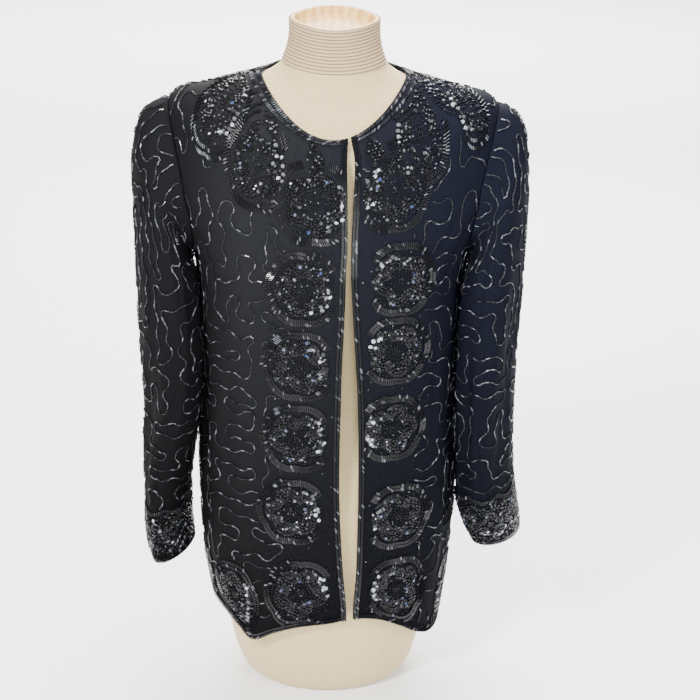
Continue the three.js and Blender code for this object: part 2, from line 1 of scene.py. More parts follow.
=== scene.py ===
"""A beaded black jacket on an ivory dress form, dressed over its solids.

Surfaces are worked out in the jacket's own coordinates, with the form's axis at x = y = 0 and the
front towards -Y, and moved to the frame when a mesh is made. The tables are written in millimetres
and turned to metres where they stand.
"""

import math

import bpy
import numpy as np
from mathutils import Matrix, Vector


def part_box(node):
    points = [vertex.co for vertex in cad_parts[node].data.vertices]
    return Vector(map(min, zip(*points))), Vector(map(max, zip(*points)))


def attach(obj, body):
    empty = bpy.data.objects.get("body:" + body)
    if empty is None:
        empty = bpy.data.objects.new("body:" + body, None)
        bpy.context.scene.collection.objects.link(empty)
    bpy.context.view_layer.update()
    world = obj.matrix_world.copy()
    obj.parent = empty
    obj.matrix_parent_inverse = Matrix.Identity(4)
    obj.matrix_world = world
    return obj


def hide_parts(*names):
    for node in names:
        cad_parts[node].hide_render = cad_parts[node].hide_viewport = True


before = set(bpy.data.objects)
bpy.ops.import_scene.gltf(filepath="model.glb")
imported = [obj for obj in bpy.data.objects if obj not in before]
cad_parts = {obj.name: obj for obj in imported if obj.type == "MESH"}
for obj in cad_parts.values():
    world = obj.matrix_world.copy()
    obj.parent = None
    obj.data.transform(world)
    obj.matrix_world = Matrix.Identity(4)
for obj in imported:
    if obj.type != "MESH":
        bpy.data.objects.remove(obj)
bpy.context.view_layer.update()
MM = 0.001


FORM_DEPTH = 116 * MM  # from the form's axis to its foremost point
form_low, form_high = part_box("dress_form")
SHIFT = np.array([(form_low.x + form_high.x) / 2, form_low.y + FORM_DEPTH, 0])


# Camera
CAMERA_PLACE = np.array([0, -1.733, 1.126])
CAMERA_DOWN = math.radians(21)
CAMERA_TURN = math.radians(0.86)
CAMERA_ROLL = math.radians(1.2)
FOCAL_PIXELS = 1450
PHOTO_PIXELS = 700
SENSOR_MM = 36


def link_object(name, data):
    made = bpy.data.objects.new(name, data)
    bpy.context.scene.collection.objects.link(made)
    return made


def aim(thing, place, right, up, ahead):
    """Puts a camera or light at a place, looking ahead."""
    rows = [[right[i], up[i], -ahead[i], place[i]] for i in range(3)]
    thing.matrix_world = Matrix([*rows, [0, 0, 0, 1]])


def make_camera():
    data = bpy.data.cameras.new("camera")
    data.sensor_width = SENSOR_MM
    data.lens = SENSOR_MM * FOCAL_PIXELS / PHOTO_PIXELS
    data.clip_start = 0.05
    data.clip_end = 30
    forward = np.array([math.sin(CAMERA_TURN), math.cos(CAMERA_TURN), 0])
    ahead = forward * math.cos(CAMERA_DOWN) - np.array([0, 0, math.sin(CAMERA_DOWN)])
    level = np.array([math.cos(CAMERA_TURN), -math.sin(CAMERA_TURN), 0])
    upright = np.cross(level, ahead)
    right = level * math.cos(CAMERA_ROLL) + upright * math.sin(CAMERA_ROLL)
    up = upright * math.cos(CAMERA_ROLL) - level * math.sin(CAMERA_ROLL)
    camera = link_object("camera", data)
    aim(camera, CAMERA_PLACE + SHIFT, right, up, ahead)
    bpy.context.scene.camera = camera


make_camera()


# Driving sizes, as in the solids
WALL = 1.3 * MM  # the cloth with its backing, within the solids' 1.6 mm
SEAM_GAP = 0.3 * MM
ARMHOLE_GAP = 0.6 * MM
SLEEVE_CLEAR = 2.2 * MM
RIGHT_PAD_OUT = 60 * MM  # how far the sleeve head is thrown out over the shoulder pad
LEFT_PAD_OUT = 51 * MM
PAD_DROP = 9 * MM
UNDERARM_OUT = 12 * MM
ARMHOLE_START = 5  # station of the underarm point
ARMHOLE_END = 7  # station of the shoulder tip
FRONT_CUT = math.radians(35)  # how far the armhole bites into the front
BACK_CUT = math.radians(30)
CUFF_BAND = 84 * MM


def table(lengths, rows):
    """A table of numbers with the columns named by lengths turned from millimetres to metres."""
    made = np.array(rows, float)
    made[:, lengths] *= MM
    return made


# Body rings: station, heights at the front, side and back, half width, depths to the front and
# back, and squareness of the section, which is 2 for an ellipse.
BODY = table(
    slice(1, 7),
    [
        [0, 100, 100, 100, 152, 112, 114, 2.2],
        [1, 200, 200, 200, 164, 119, 122, 2.2],
        [2, 300, 300, 300, 168, 122, 126, 2.2],
        [3, 420, 420, 420, 167, 125, 119, 2.25],
        [4, 520, 520, 520, 168, 131, 112, 2.3],
        [5, 600, 600, 600, 171, 134, 108, 2.35],
        [6, 664, 690, 675, 206, 126, 104, 2.3],
        [7, 705, 783, 738, 197, 117, 97, 2.2],
        [8, 733, 803, 789, 140, 106, 84, 2.1],
        [9, 754, 815, 826, 86, 93, 68, 2.0],
    ],
)
NECKLINE = len(BODY) - 1
HEM_AT_OPENING = 131 * MM

# Hem: angle in degrees, height
HEM = table(
    slice(1, 2),
    [
        [-180, 97], [-130, 104], [-95, 115], [-75, 118], [-60, 115], [-47, 102], [-37, 87],
        [-24, 104], [-12, 117], [0, 124], [12, 131], [24, 127], [38, 110], [50, 92], [65, 80],
        [90, 84], [120, 90], [180, 97],
    ],
)

# Front opening: height, x of the right front's edge, x of the left front's edge
OPENING = table(
    slice(0, 3),
    [
        [130, 27, 35.3], [150, 26.4, 35.4], [202, 21.5, 38], [246, 18.2, 38.3], [299, 15.3, 38.5],
        [376, 14, 37.2], [434, 14.5, 35.2], [481, 14.9, 32.4], [532, 16.3, 28.3], [570, 17.3, 25.6],
        [607, 17.7, 23.6], [640, 18.7, 23.4], [690, 17.8, 24.8], [732, 16.8, 25.2], [754, 17.7, 20.3],
    ],
)

# Sleeve rings: height, x and y of the middle, half sizes across and deep, lean in degrees
RIGHT_SLEEVE = table(
    slice(0, 5),
    [
        [560, 200, -28, 39, 70, 14], [480, 197, -32, 40, 66, 14], [400, 198, -30, 36, 62, 10],
        [330, 205, -24, 32, 58, 0], [260, 209, -16, 27, 57, -8], [215, 209, -11, 23, 55, -14],
        [180, 204, -9, 18, 51, -18],
    ],
)
LEFT_SLEEVE = table(
    slice(0, 5),
    [
        [560, 198, -28, 39, 70, 12], [480, 196, -32, 38, 66, 14], [400, 198, -32, 36, 62, 16],
        [340, 201, -28, 36, 58, 18], [285, 206, -24, 36, 55, 22], [255, 212, -20, 34, 53, 26],
        [232, 219, -15, 30, 50, 30], [210, 226, -10, 26, 46, 32],
    ],
)

# Sleeve folds: turn round the arm, drift, top and bottom height, depth, half width in turns.
# A crease of a negative depth is a ridge. The short ones are only in the cloth that shows.
RIGHT_SLEEVE_FOLDS = table(
    slice(2, 5),
    [
        [0.33, 0.03, 690, 430, 6, 0.05], [0.2, -0.03, 560, 300, -3, 0.06],
        [0.12, 0.02, 640, 470, 3, 0.04], [0.75, 0.03, 660, 330, 4, 0.06],
        [0.9, -0.02, 520, 230, 3, 0.05],
    ],
)
LEFT_SLEEVE_FOLDS = table(
    slice(2, 5),
    [
        [0.3, 0.02, 560, 250, 7, 0.045], [0.17, 0, 640, 300, -4, 0.06],
        [0.08, -0.02, 600, 420, 3, 0.04], [0.78, -0.03, 640, 300, 4, 0.06],
        [0.62, 0.02, 480, 230, 3, 0.05],
    ],
)
SLEEVE_CREASES = table(
    slice(2, 5),
    [
        [0.26, 0.01, 650, 520, 2.4, 0.018], [0.37, -0.02, 500, 400, 2, 0.016],
        [0.1, 0.03, 420, 300, 1.9, 0.02], [0.23, -0.02, 360, 270, 2.2, 0.015],
        [0.03, 0.01, 560, 480, 1.5, 0.018], [0.7, 0.02, 560, 430, 2.2, 0.02],
        [0.86, -0.02, 400, 290, 2, 0.018], [0.95, 0.01, 660, 560, 1.7, 0.016],
        [0.17, 0.03, 530, 330, -3.0, 0.03], [0.28, -0.02, 500, 330, -2.4, 0.024],
        [0.06, -0.03, 500, 280, -2.6, 0.024], [0.82, 0.02, 510, 350, -2.8, 0.028],
        [0.91, -0.01, 520, 300, -2.4, 0.022],
    ],
)

# Body folds: degrees at the top, drift, lowest and highest station, depth, half width in degrees
BODY_FOLDS = table(
    slice(4, 5),
    [
        [-52, -4, 0.2, 4.2, -3.5, 7], [-66, -3, 0.5, 4.9, 3.5, 6], [-28, -2, 0.8, 3.6, 2, 6],
        [52, 4, 0.2, 4.4, -3.5, 7], [68, 3, 0.6, 4.9, 4, 6], [76, -6, 4, 5.8, 3, 6],
        [-77, 5, 4, 5.8, 3, 6], [118, 3, 0.3, 4.6, 4, 8], [142, -2, 0.2, 3.9, -4, 8],
        [168, 3, 0.3, 4.4, 3.5, 8], [-164, -2, 0.4, 4.1, -3.5, 8], [-140, 4, 0.2, 4.7, 4, 8],
        [-114, -3, 0.5, 4.3, -3, 7],
    ],
)
BODY_CREASES = table(
    slice(4, 5),
    [
        [-58, 5, 4.4, 6.0, 2.1, 2.2], [-48, 6, 5.0, 6.3, 1.4, 2.0], [-70, 3, 1.2, 2.9, 1.8, 2.4],
        [-44, -3, 2.2, 3.6, 1.3, 2.0], [57, -6, 4.5, 6.1, 2.2, 2.2], [46, -5, 5.1, 6.2, 1.4, 2.0],
        [62, 3, 1.0, 2.6, 1.9, 2.4], [47, 2, 2.6, 3.9, 1.3, 2.0], [104, -3, 4.2, 5.9, 2.1, 2.4],
        [128, 2, 1.1, 3.2, 1.6, 2.2], [152, -2, 3.0, 5.0, 1.4, 2.0], [-152, 3, 1.6, 3.4, 1.8, 2.4],
        [-127, -2, 4.0, 5.8, 1.9, 2.2], [-104, 3, 2.0, 4.4, 1.6, 2.0], [178, 2, 5.0, 6.6, 1.3, 2.4],
    ],
)


# Surfaces
TINY = 1e-12
STEP = 0.01  # of a surface's coordinates, when its normal is measured
SLEEVE_STEP = 0.02
BODY_FOLD_SPREAD = 1.6  # how many of its half widths a fold fades over
BODY_FOLD_FADE = 0.3  # stations over which it fades at each end
SLEEVE_FOLD_SPREAD = 1.5
SLEEVE_FOLD_FADE = 20 * MM
UNDERARM_FLAT = 0.24  # turns to each side of the sleeve's seam that have weaker folds
CAP_FALL = 0.55  # share of the cap's drop over which it arrives at the arm
CAP_FALL_OUTSIDE = 0.13  # more of it on the outside of the arm
LEAST_FALL = 12 * MM


def along(rows, column, at):
    """A smooth curve through one column of a table whose first column rises or falls steadily."""
    keys, values = rows[:, 0], rows[:, column]
    if keys[0] > keys[-1]:
        keys, values = keys[::-1], values[::-1]
    slopes = np.empty(len(keys))
    slopes[1:-1] = (values[2:] - values[:-2]) / (keys[2:] - keys[:-2])
    slopes[0] = (values[1] - values[0]) / (keys[1] - keys[0])
    slopes[-1] = (values[-1] - values[-2]) / (keys[-1] - keys[-2])
    at = np.clip(at, keys[0], keys[-1])
    i = np.clip(np.searchsorted(keys, at, side="right") - 1, 0, len(keys) - 2)
    step = keys[i + 1] - keys[i]
    f = (at - keys[i]) / step
    return (
        (2 * f**3 - 3 * f**2 + 1) * values[i]
        + (f**3 - 2 * f**2 + f) * slopes[i] * step
        + (3 * f**2 - 2 * f**3) * values[i + 1]
        + (f**3 - f**2) * slopes[i + 1] * step
    )


def power(value, exponent):
    return np.sign(value) * np.abs(value) ** exponent


def bell(distance, half_width):
    """1 in the middle and 0 beyond half a width on each side."""
    return (1 - np.minimum(np.abs(distance) / half_width, 1) ** 2) ** 2


def smoothstep(x, low, high):
    t = np.clip((x - low) / (high - low), 0, 1)
    return t * t * (3 - 2 * t)


def lerp(a, b, t):
    return a + (b - a) * t


def wrap(degrees):
    return (degrees + 180) % 360 - 180


def ring_point(sizes, squareness, angle):
    """A point on a ring: front, side and back heights, half width, front and back depths."""
    z_front, z_side, z_back, half_width, front_depth, back_depth = sizes
    s, c = np.sin(angle), np.cos(angle)
    z_end = np.where(c >= 0, z_front, z_back)
    depth = np.where(c >= 0, front_depth, back_depth)
    x = half_width * power(s, 2 / squareness)
    y = -depth * power(c, 2 / squareness)
    return np.stack(np.broadcast_arrays(x, y, z_end + (z_side - z_end) * s * s), -1)


def body_sizes(station):
    return [along(BODY, column, station) for column in range(1, 7)]


def body_point(angle, station):
    """The body's surface without folds."""
    angle, station = np.broadcast_arrays(angle, station)
    point = ring_point(body_sizes(station), along(BODY, 7, station), angle)
    hem = along(HEM, 1, wrap(np.degrees(angle)))
    point[..., 2] = np.where(station < 1, lerp(hem, BODY[1, 1], station), point[..., 2])
    return point


def unit(vectors):
    return vectors / np.maximum(np.linalg.norm(vectors, axis=-1, keepdims=True), TINY)


def normal_at(surface, u, v, du, dv):
    across = surface(u + du, v) - surface(u - du, v)
    up = surface(u, v + dv) - surface(u, v - dv)
    return unit(np.cross(across, up))


def body_normal(angle, station):
    return normal_at(body_point, angle, np.clip(station, STEP, NECKLINE - STEP), STEP, STEP)


def body_fold(angle, station):
    """How far the cloth stands out of the plain surface in its folds and creases."""
    total = 0
    for top, drift, low, high, depth, half_width in [*BODY_FOLDS, *BODY_CREASES]:
        apart = wrap(np.degrees(angle) - top - drift * (high - station) / (high - low))
        lengthwise = bell(station - (low + high) / 2, (high - low) / 2 + BODY_FOLD_FADE)
        total = total - depth * bell(apart, half_width * BODY_FOLD_SPREAD) * lengthwise
    return total


def cloth_point(angle, station):
    folds = body_fold(angle, station)[..., None]
    return body_point(angle, station) + body_normal(angle, station) * folds


def panel_end(station, is_front):
    """Angle at which a panel meets its neighbour: the side seam, or the armhole's edge."""
    depth = along(BODY, 5 if is_front else 6, station)
    seam = np.arccos((SEAM_GAP / 2 / depth) ** (along(BODY, 7, station) / 2))
    t = np.clip((station - ARMHOLE_START) / (ARMHOLE_END - ARMHOLE_START), 0, 1)
    bite = 2 * np.sqrt(t * (1 - t))
    end = np.minimum(seam, math.pi / 2 - (FRONT_CUT if is_front else BACK_CUT) * bite)
    return end if is_front else math.pi - end


def opening_angle(station, side):
    """Angle of a front's opening edge at a station."""
    height = along(BODY, 1, np.maximum(station, 1))
    z = np.where(station < 1, lerp(HEM_AT_OPENING, height, station), height)
    share = along(OPENING, 1 if side < 0 else 2, z) / along(BODY, 4, station)
    return np.arcsin(share ** (along(BODY, 7, station) / 2))


def armhole_point(turn, side):
    """The armhole's edge by turns: 0 at the shoulder tip, 0.25 in front, 0.5 at the underarm."""
    is_front = turn <= 0.5
    k = np.where(is_front, 1 - 2 * turn, 2 * turn - 1)
    station = ARMHOLE_START + (ARMHOLE_END - ARMHOLE_START) * (1 - np.cos(math.pi * k)) / 2
    end = np.where(is_front, panel_end(station, True), panel_end(station, False))
    point = cloth_point(side * end, station)
    point[..., 1] = np.where((k < 1e-6) | (k > 1 - 1e-6), 0, point[..., 1])
    point[..., 0] += side * ARMHOLE_GAP
    return point


def clear_of_body(point, side, clearance):
    """Keeps a sleeve's points outside the body's cloth."""
    side_rows = BODY[: ARMHOLE_START + 1]
    y, z = point[..., 1], point[..., 2]
    heights = side_rows[:, [1, 4, 5, 6, 7]]
    half_width, front, back, squareness = (along(heights, column, z) for column in range(1, 5))
    share = np.abs(y / np.where(y < 0, front, back)) ** squareness
    reach = half_width * np.maximum(1 - share, 0) ** (1 / squareness)
    x = side * np.maximum(side * point[..., 0], reach + clearance)
    moved = (z <= BODY[ARMHOLE_START, 1] + 4 * MM) & (reach > 0)
    point[..., 0] = np.where(moved, x, point[..., 0])
    return point


def sleeve_ring(rows, z, turn, side):
    x, y, across, deep, lean = (along(rows, column, z) for column in range(1, 6))
    u = across * np.cos(2 * math.pi * turn)
    v = -deep * np.sin(2 * math.pi * turn)
    w = np.radians(lean)
    made = (side * (x + u * np.cos(w) + v * np.sin(w)), y - u * np.sin(w) + v * np.cos(w), z)
    return np.stack(np.broadcast_arrays(*made), -1)


def sleeve_point(rows, side, turn, row):
    """Rows 0 to 1 are the cap, from the armhole to the top of the arm, and 1 to 2 the arm."""
    turn, row = np.broadcast_arrays(turn % 1, row)
    arm_top, cuff = rows[0, 0], rows[-1, 0]
    arm = sleeve_ring(rows, lerp(arm_top, cuff, np.clip(row - 1, 0, 1)), turn, side)
    arm = clear_of_body(arm, side, SLEEVE_CLEAR)
    start = armhole_point(turn, side)
    end = sleeve_ring(rows, np.full(turn.shape, arm_top), turn, side)
    outside = 0.5 + 0.5 * np.cos(2 * math.pi * turn)
    pad_out = RIGHT_PAD_OUT if side < 0 else LEFT_PAD_OUT
    leave = start.copy()
    leave[..., 0] += side * lerp(UNDERARM_OUT, pad_out, outside)
    leave[..., 2] -= PAD_DROP * outside
    arrive = end.copy()
    fall = (start[..., 2] - end[..., 2]) * (CAP_FALL + CAP_FALL_OUTSIDE * outside)
    arrive[..., 2] += np.maximum(fall, LEAST_FALL)
    t = np.clip(row, 0, 1)[..., None]
    cap = (
        (1 - t) ** 3 * start
        + 3 * (1 - t) ** 2 * t * leave
        + 3 * (1 - t) * t**2 * arrive
        + t**3 * end
    )
    cap = clear_of_body(cap, side, lerp(ARMHOLE_GAP, SLEEVE_CLEAR, np.minimum(t[..., 0] * 4, 1)))
    return np.where((row > 1)[..., None], arm, cap)


def sleeve_normal(rows, side, turn, row):
    def surface(u, v):
        return sleeve_point(rows, side, u, v)

    inside = np.clip(row, SLEEVE_STEP, 2 - SLEEVE_STEP)
    return side * normal_at(surface, turn, inside, STEP, SLEEVE_STEP)


def sleeve_cloth(rows, folds, side, turn, row):
    turn, row = np.broadcast_arrays(turn % 1, row)
    point = sleeve_point(rows, side, turn, row)
    fold = 0
    for place, drift, high, low, depth, half_width in [*folds, *SLEEVE_CREASES]:
        centre = place + drift * (high - point[..., 2]) / (high - low)
        apart = (turn - centre + 0.5) % 1 - 0.5
        half = (high - low) / 2 + SLEEVE_FOLD_FADE
        lengthwise = bell(point[..., 2] - (high + low) / 2, half)
        fold = fold - depth * bell(apart, half_width * SLEEVE_FOLD_SPREAD) * lengthwise
    fold = fold * (1 - bell(turn - 0.5, UNDERARM_FLAT)) * smoothstep(row, 0, 0.5)
    return point + sleeve_normal(rows, side, turn, row) * fold[..., None]


def right_sleeve(turn, up):
    return sleeve_cloth(RIGHT_SLEEVE, RIGHT_SLEEVE_FOLDS, -1, turn, 2 - np.asarray(up))


def left_sleeve(turn, up):
    return sleeve_cloth(LEFT_SLEEVE, LEFT_SLEEVE_FOLDS, 1, turn, 2 - np.asarray(up))


# Materials
BLACK = (0.005, 0.005, 0.006)
# The grey and silver colours below are painted glints and flashes on black glass beads
PAINTED_GLINT_GREY = (0.018, 0.018, 0.020)
PAINTED_GLINT_SILVER = (0.12, 0.12, 0.13)
PAINTED_FLASH_SILVER = (0.42, 0.43, 0.47)
NIGHT_BLUE = (0.03, 0.045, 0.12)
GLASS_GLOSS = 0.17
CREPE_GLOSS = 0.05
WOOD_GLOSS = 0.3
JERSEY_SHEEN = 0.15

# Crepe: its colours from the right of the jacket to the left, with painted light on the right front
# and a painted navy cast on the left, and painted shade that darkens it from chest to hem
PAINTED_LIGHT_FROM_X, PAINTED_LIGHT_TO_X = -0.22, 0.12
CREPE_AND_PAINTED_LIGHT_COLORS = [
    (0, (0.0040, 0.0040, 0.0045)),
    (0.12, (0.0042, 0.0042, 0.0047)),
    (0.32, (0.0088, 0.0088, 0.0094)),
    (1, (0.0034, 0.0039, 0.0082)),
]
PAINTED_SHADE_FROM_Z, PAINTED_SHADE_TO_Z = 0.15, 0.68
PAINTED_SHADE_AT_HEM, PAINTED_LIGHT_AT_CHEST = 0.32, 1.15

JERSEY_COLORS = [(0, (0.43, 0.31, 0.145)), (0.55, (0.63, 0.475, 0.24))]
JERSEY_ROWS = 128  # scale of the rows of knitting
# The rib's own colour, then the painted shade of its grooves
RIB_AND_GROOVE_SHADE_COLORS = [(0, (0.44, 0.315, 0.18)), (1, (0.15, 0.09, 0.045))]
WOOD_COLORS = [(0, (0.52, 0.29, 0.085)), (1, (0.70, 0.44, 0.15))]
WOOD_RINGS = 28  # scale of the rings of the wood


def add_node(tree, kind, inputs=None, **settings):
    """A node with its settings, and with a value or a link on each input that is named."""
    made = tree.nodes.new(kind)
    for name, value in settings.items():
        setattr(made, name, value)
    for name, value in (inputs or {}).items():
        if isinstance(value, bpy.types.NodeSocket):
            tree.links.new(value, made.inputs[name])
        else:
            made.inputs[name].default_value = value
    return made


def new_material(name, color, roughness):
    material = bpy.data.materials.new(name)
    material.use_nodes = True
    shader = material.node_tree.nodes["Principled BSDF"]
    shader.inputs["Base Color"].default_value = (*color, 1)
    shader.inputs["Roughness"].default_value = roughness
    return material, material.node_tree, shader


def grain_group():
    """A fine crinkle: noise in object coordinates, stretched along Z, given out as a bumped normal."""
    group = bpy.data.node_groups.new("cloth_grain", "ShaderNodeTree")
    for name, value in (("Fineness", 900.0), ("Stretch", 1.0), ("Strength", 0.3), ("Depth", 0.0004)):
        group.interface.new_socket(name, in_out="INPUT", socket_type="NodeSocketFloat").default_value = value
    group.interface.new_socket("Normal", in_out="OUTPUT", socket_type="NodeSocketVector")
    given = add_node(group, "NodeGroupInput").outputs
    place = add_node(group, "ShaderNodeTexCoord").outputs["Object"]
    squeeze = add_node(group, "ShaderNodeCombineXYZ", {"X": 1, "Y": 1, "Z": given["Stretch"]})
    stretched = add_node(
        group, "ShaderNodeVectorMath", {0: place, 1: squeeze.outputs["Vector"]}, operation="MULTIPLY"
    )
    noise = add_node(
        group,
        "ShaderNodeTexNoise",
        {"Vector": stretched.outputs["Vector"], "Scale": given["Fineness"], "Detail": 3},
    )
    bump = add_node(
        group,
        "ShaderNodeBump",
        {"Height": noise.outputs["Fac"], "Strength": given["Strength"], "Distance": given["Depth"]},
    )
    add_node(group, "NodeGroupOutput", {"Normal": bump.outputs["Normal"]})
    return group


GRAIN = grain_group()


def add_grain(tree, shader, fineness, stretch, strength, depth):
    given = {"Fineness": fineness, "Stretch": stretch, "Strength": strength, "Depth": depth}
    grain = add_node(tree, "ShaderNodeGroup", given, node_tree=GRAIN)
    tree.links.new(grain.outputs["Normal"], shader.inputs["Normal"])


def ramp(tree, factor, stops):
    """A colour that follows a factor, from stops of a position and a colour."""
    made = add_node(tree, "ShaderNodeValToRGB", {"Fac": factor})
    elements = made.color_ramp.elements
    elements[0].position, elements[0].color = stops[0][0], (*stops[0][1], 1)
    elements[1].position, elements[1].color = stops[-1][0], (*stops[-1][1], 1)
    for position, color in stops[1:-1]:
        elements.new(position).color = (*color, 1)
    return made.outputs["Color"]


def crepe_material():
    """Black crepe with painted light: a lighter right front, a navy cast on the left, painted shade at the
    hem.
    """
    material, tree, shader = new_material("crepe", BLACK, 0.8)
    place = add_node(tree, "ShaderNodeTexCoord").outputs["Object"]
    parts = add_node(tree, "ShaderNodeSeparateXYZ", {"Vector": place}).outputs
    # Painted light across the jacket: lighter on the right front, a painted navy cast on the left
    across = {"Value": parts["X"], "From Min": PAINTED_LIGHT_FROM_X, "From Max": PAINTED_LIGHT_TO_X}
    share = add_node(tree, "ShaderNodeMapRange", across).outputs["Result"]
    # Painted shade and light: the colour is scaled down towards the hem and up at the chest
    painted_shade_range = {"Value": parts["Z"], "From Min": PAINTED_SHADE_FROM_Z, "From Max": PAINTED_SHADE_TO_Z}
    painted_shade_range |= {"To Min": PAINTED_SHADE_AT_HEM, "To Max": PAINTED_LIGHT_AT_CHEST}
    light = add_node(tree, "ShaderNodeMapRange", painted_shade_range).outputs["Result"]
    scaled = {0: ramp(tree, share, CREPE_AND_PAINTED_LIGHT_COLORS), "Scale": light}
    shaded = add_node(tree, "ShaderNodeVectorMath", scaled, operation="SCALE")
    tree.links.new(shaded.outputs["Vector"], shader.inputs["Base Color"])
    shader.inputs["Specular IOR Level"].default_value = CREPE_GLOSS
    add_grain(tree, shader, fineness=420, stretch=0.28, strength=0.5, depth=0.9 * MM)
    return material


def glass_material(name, roughness, stops):
    """Glossy bead or sequin, coloured by a random value of each bead; its grey and silver are painted
    glints.
    """
    material, tree, shader = new_material(name, BLACK, roughness)
    tint_and_glint = add_node(tree, "ShaderNodeAttribute", attribute_name="tint_and_glint")
    tree.links.new(ramp(tree, tint_and_glint.outputs["Fac"], stops), shader.inputs["Base Color"])
    shader.inputs["Specular IOR Level"].default_value = GLASS_GLOSS
    return material


def jersey_material():
    """Ivory jersey with fine level rows of knitting."""
    material, tree, shader = new_material("jersey", JERSEY_COLORS[-1][1], 0.9)
    place = add_node(tree, "ShaderNodeTexCoord").outputs["Object"]
    wave = {"Vector": place, "Scale": JERSEY_ROWS, "Distortion": 0.4, "Detail": 1}
    rows = add_node(tree, "ShaderNodeTexWave", wave, bands_direction="Z").outputs["Fac"]
    tree.links.new(ramp(tree, rows, JERSEY_COLORS), shader.inputs["Base Color"])
    bump = add_node(tree, "ShaderNodeBump", {"Height": rows, "Strength": 0.35, "Distance": 0.6 * MM})
    tree.links.new(bump.outputs["Normal"], shader.inputs["Normal"])
    shader.inputs["Sheen Weight"].default_value = JERSEY_SHEEN
    return material


def rib_material():
    """Ribbed jersey, with painted shade darkening the grooves that each point's groove attribute marks."""
    material, tree, shader = new_material("jersey_rib", RIB_AND_GROOVE_SHADE_COLORS[0][1], 0.9)
    groove = add_node(tree, "ShaderNodeAttribute", attribute_name="groove")
    tree.links.new(ramp(tree, groove.outputs["Fac"], RIB_AND_GROOVE_SHADE_COLORS), shader.inputs["Base Color"])
    add_grain(tree, shader, fineness=1200, stretch=1, strength=0.25, depth=0.4 * MM)
    return material


def wood_material():
    """Pale varnished wood with rings across the cap."""
    material, tree, shader = new_material("wood", WOOD_COLORS[-1][1], 0.4)
    place = add_node(tree, "ShaderNodeTexCoord").outputs["Object"]
    wave = {"Vector": place, "Scale": WOOD_RINGS, "Distortion": 5, "Detail": 3, "Detail Scale": 1.6}
    rings = add_node(tree, "ShaderNodeTexWave", wave, bands_direction="X").outputs["Fac"]
    tree.links.new(ramp(tree, rings, WOOD_COLORS), shader.inputs["Base Color"])
    shader.inputs["Specular IOR Level"].default_value = WOOD_GLOSS
    return material


CREPE = crepe_material()
JERSEY = jersey_material()
RIB = rib_material()
WOOD = wood_material()
# In these ramps black and night blue are the beads' own colours; the grey and silver stops are painted
# glints
BUGLE_GLASS = glass_material("bugle_glass", 0.12, [(0, BLACK), (0.3, PAINTED_GLINT_GREY), (0.7, PAINTED_GLINT_GREY), (1, PAINTED_GLINT_SILVER)])
SEED_GLASS = glass_material("seed_glass", 0.09, [(0, BLACK), (0.9, BLACK), (1, PAINTED_GLINT_SILVER)])
SEQUIN_FOIL = glass_material(
    "sequin_foil", 0.1, [(0, BLACK), (0.93, BLACK), (0.97, PAINTED_GLINT_SILVER), (1, NIGHT_BLUE)]
)
FOIL_WITH_PAINTED_FLASH = glass_material(
    "foil_with_painted_flash", 0.08, [(0, BLACK), (0.45, BLACK), (0.75, PAINTED_GLINT_SILVER), (1, PAINTED_FLASH_SILVER)]
)


# Meshes


def add_mesh(name, node, points, faces, material, slot):
    """A piece that shows in the place of a CAD node."""
    mesh = bpy.data.meshes.new(name)
    mesh.from_pydata((points + SHIFT).tolist(), [], [list(face) for face in faces])
    mesh.shade_smooth()
    mesh.materials.append(material)
    made = link_object(name, mesh)
    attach(made, "root")
    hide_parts(node)
    return made


def grid_faces(rows, columns, is_ring, first=0, is_flipped=False):
    """Quads of a grid of points whose rows run up and whose columns run to the right."""
    row = np.arange(rows - 1)[:, None] * columns
    column = np.arange(columns if is_ring else columns - 1)[None, :]
    after = (column + 1) % columns
    quads = np.stack(
        np.broadcast_arrays(row + column, row + after, row + columns + after, row + columns + column), -1
    )
    quads = quads.reshape(-1, 4) + first
    return quads[:, ::-1] if is_flipped else quads


def wall(outer, inner, is_ring, is_flipped):
    """A closed wall between two grids: its points and faces."""
    rows, columns = outer.shape[:2]
    count = rows * columns
    index = np.arange(count).reshape(rows, columns)
    faces = [
        grid_faces(rows, columns, is_ring, 0, is_flipped),
        grid_faces(rows, columns, is_ring, count, not is_flipped),
    ]

    def close(line, is_turned):
        a, b = line[:-1], line[1:]
        strip = np.stack([a, a + count, b + count, b], -1)
        faces.append(strip[:, ::-1] if is_turned != is_flipped else strip)

    around = np.append(index, index[:, :1], 1) if is_ring else index
    close(around[0], False)
    close(around[-1], True)
    if not is_ring:
        close(index[:, 0], True)
        close(index[:, -1], False)
    points = np.concatenate([outer.reshape(-1, 3), inner.reshape(-1, 3)])
    return points, np.concatenate(faces)


def flat_area(grid, is_ring):
    """Area of a grid's surface, for the cut of the cloth."""
    if is_ring:
        grid = np.append(grid, grid[:, :1], 1)
    a = grid[1:, 1:] - grid[:-1, :-1]
    b = grid[1:, :-1] - grid[:-1, 1:]
    return float(np.linalg.norm(np.cross(a, b), axis=-1).sum() / 2)


# Cloth
PANEL_COLUMNS = 72
BACK_COLUMNS = 96
SLEEVE_COLUMNS = 96
LOWER_ROWS = 110
ARMHOLE_ROWS = 60
YOKE_ROWS = 36
CAP_ROWS = 36
ARM_ROWS = 100

# Width and length of each piece's cut
FRONT_CUT_SIZE = (0.29, 0.71)
BACK_CUT_SIZE = (0.50, 0.76)
RIGHT_SLEEVE_CUT_SIZE = (0.42, 0.66)
LEFT_SLEEVE_CUT_SIZE = (0.42, 0.62)

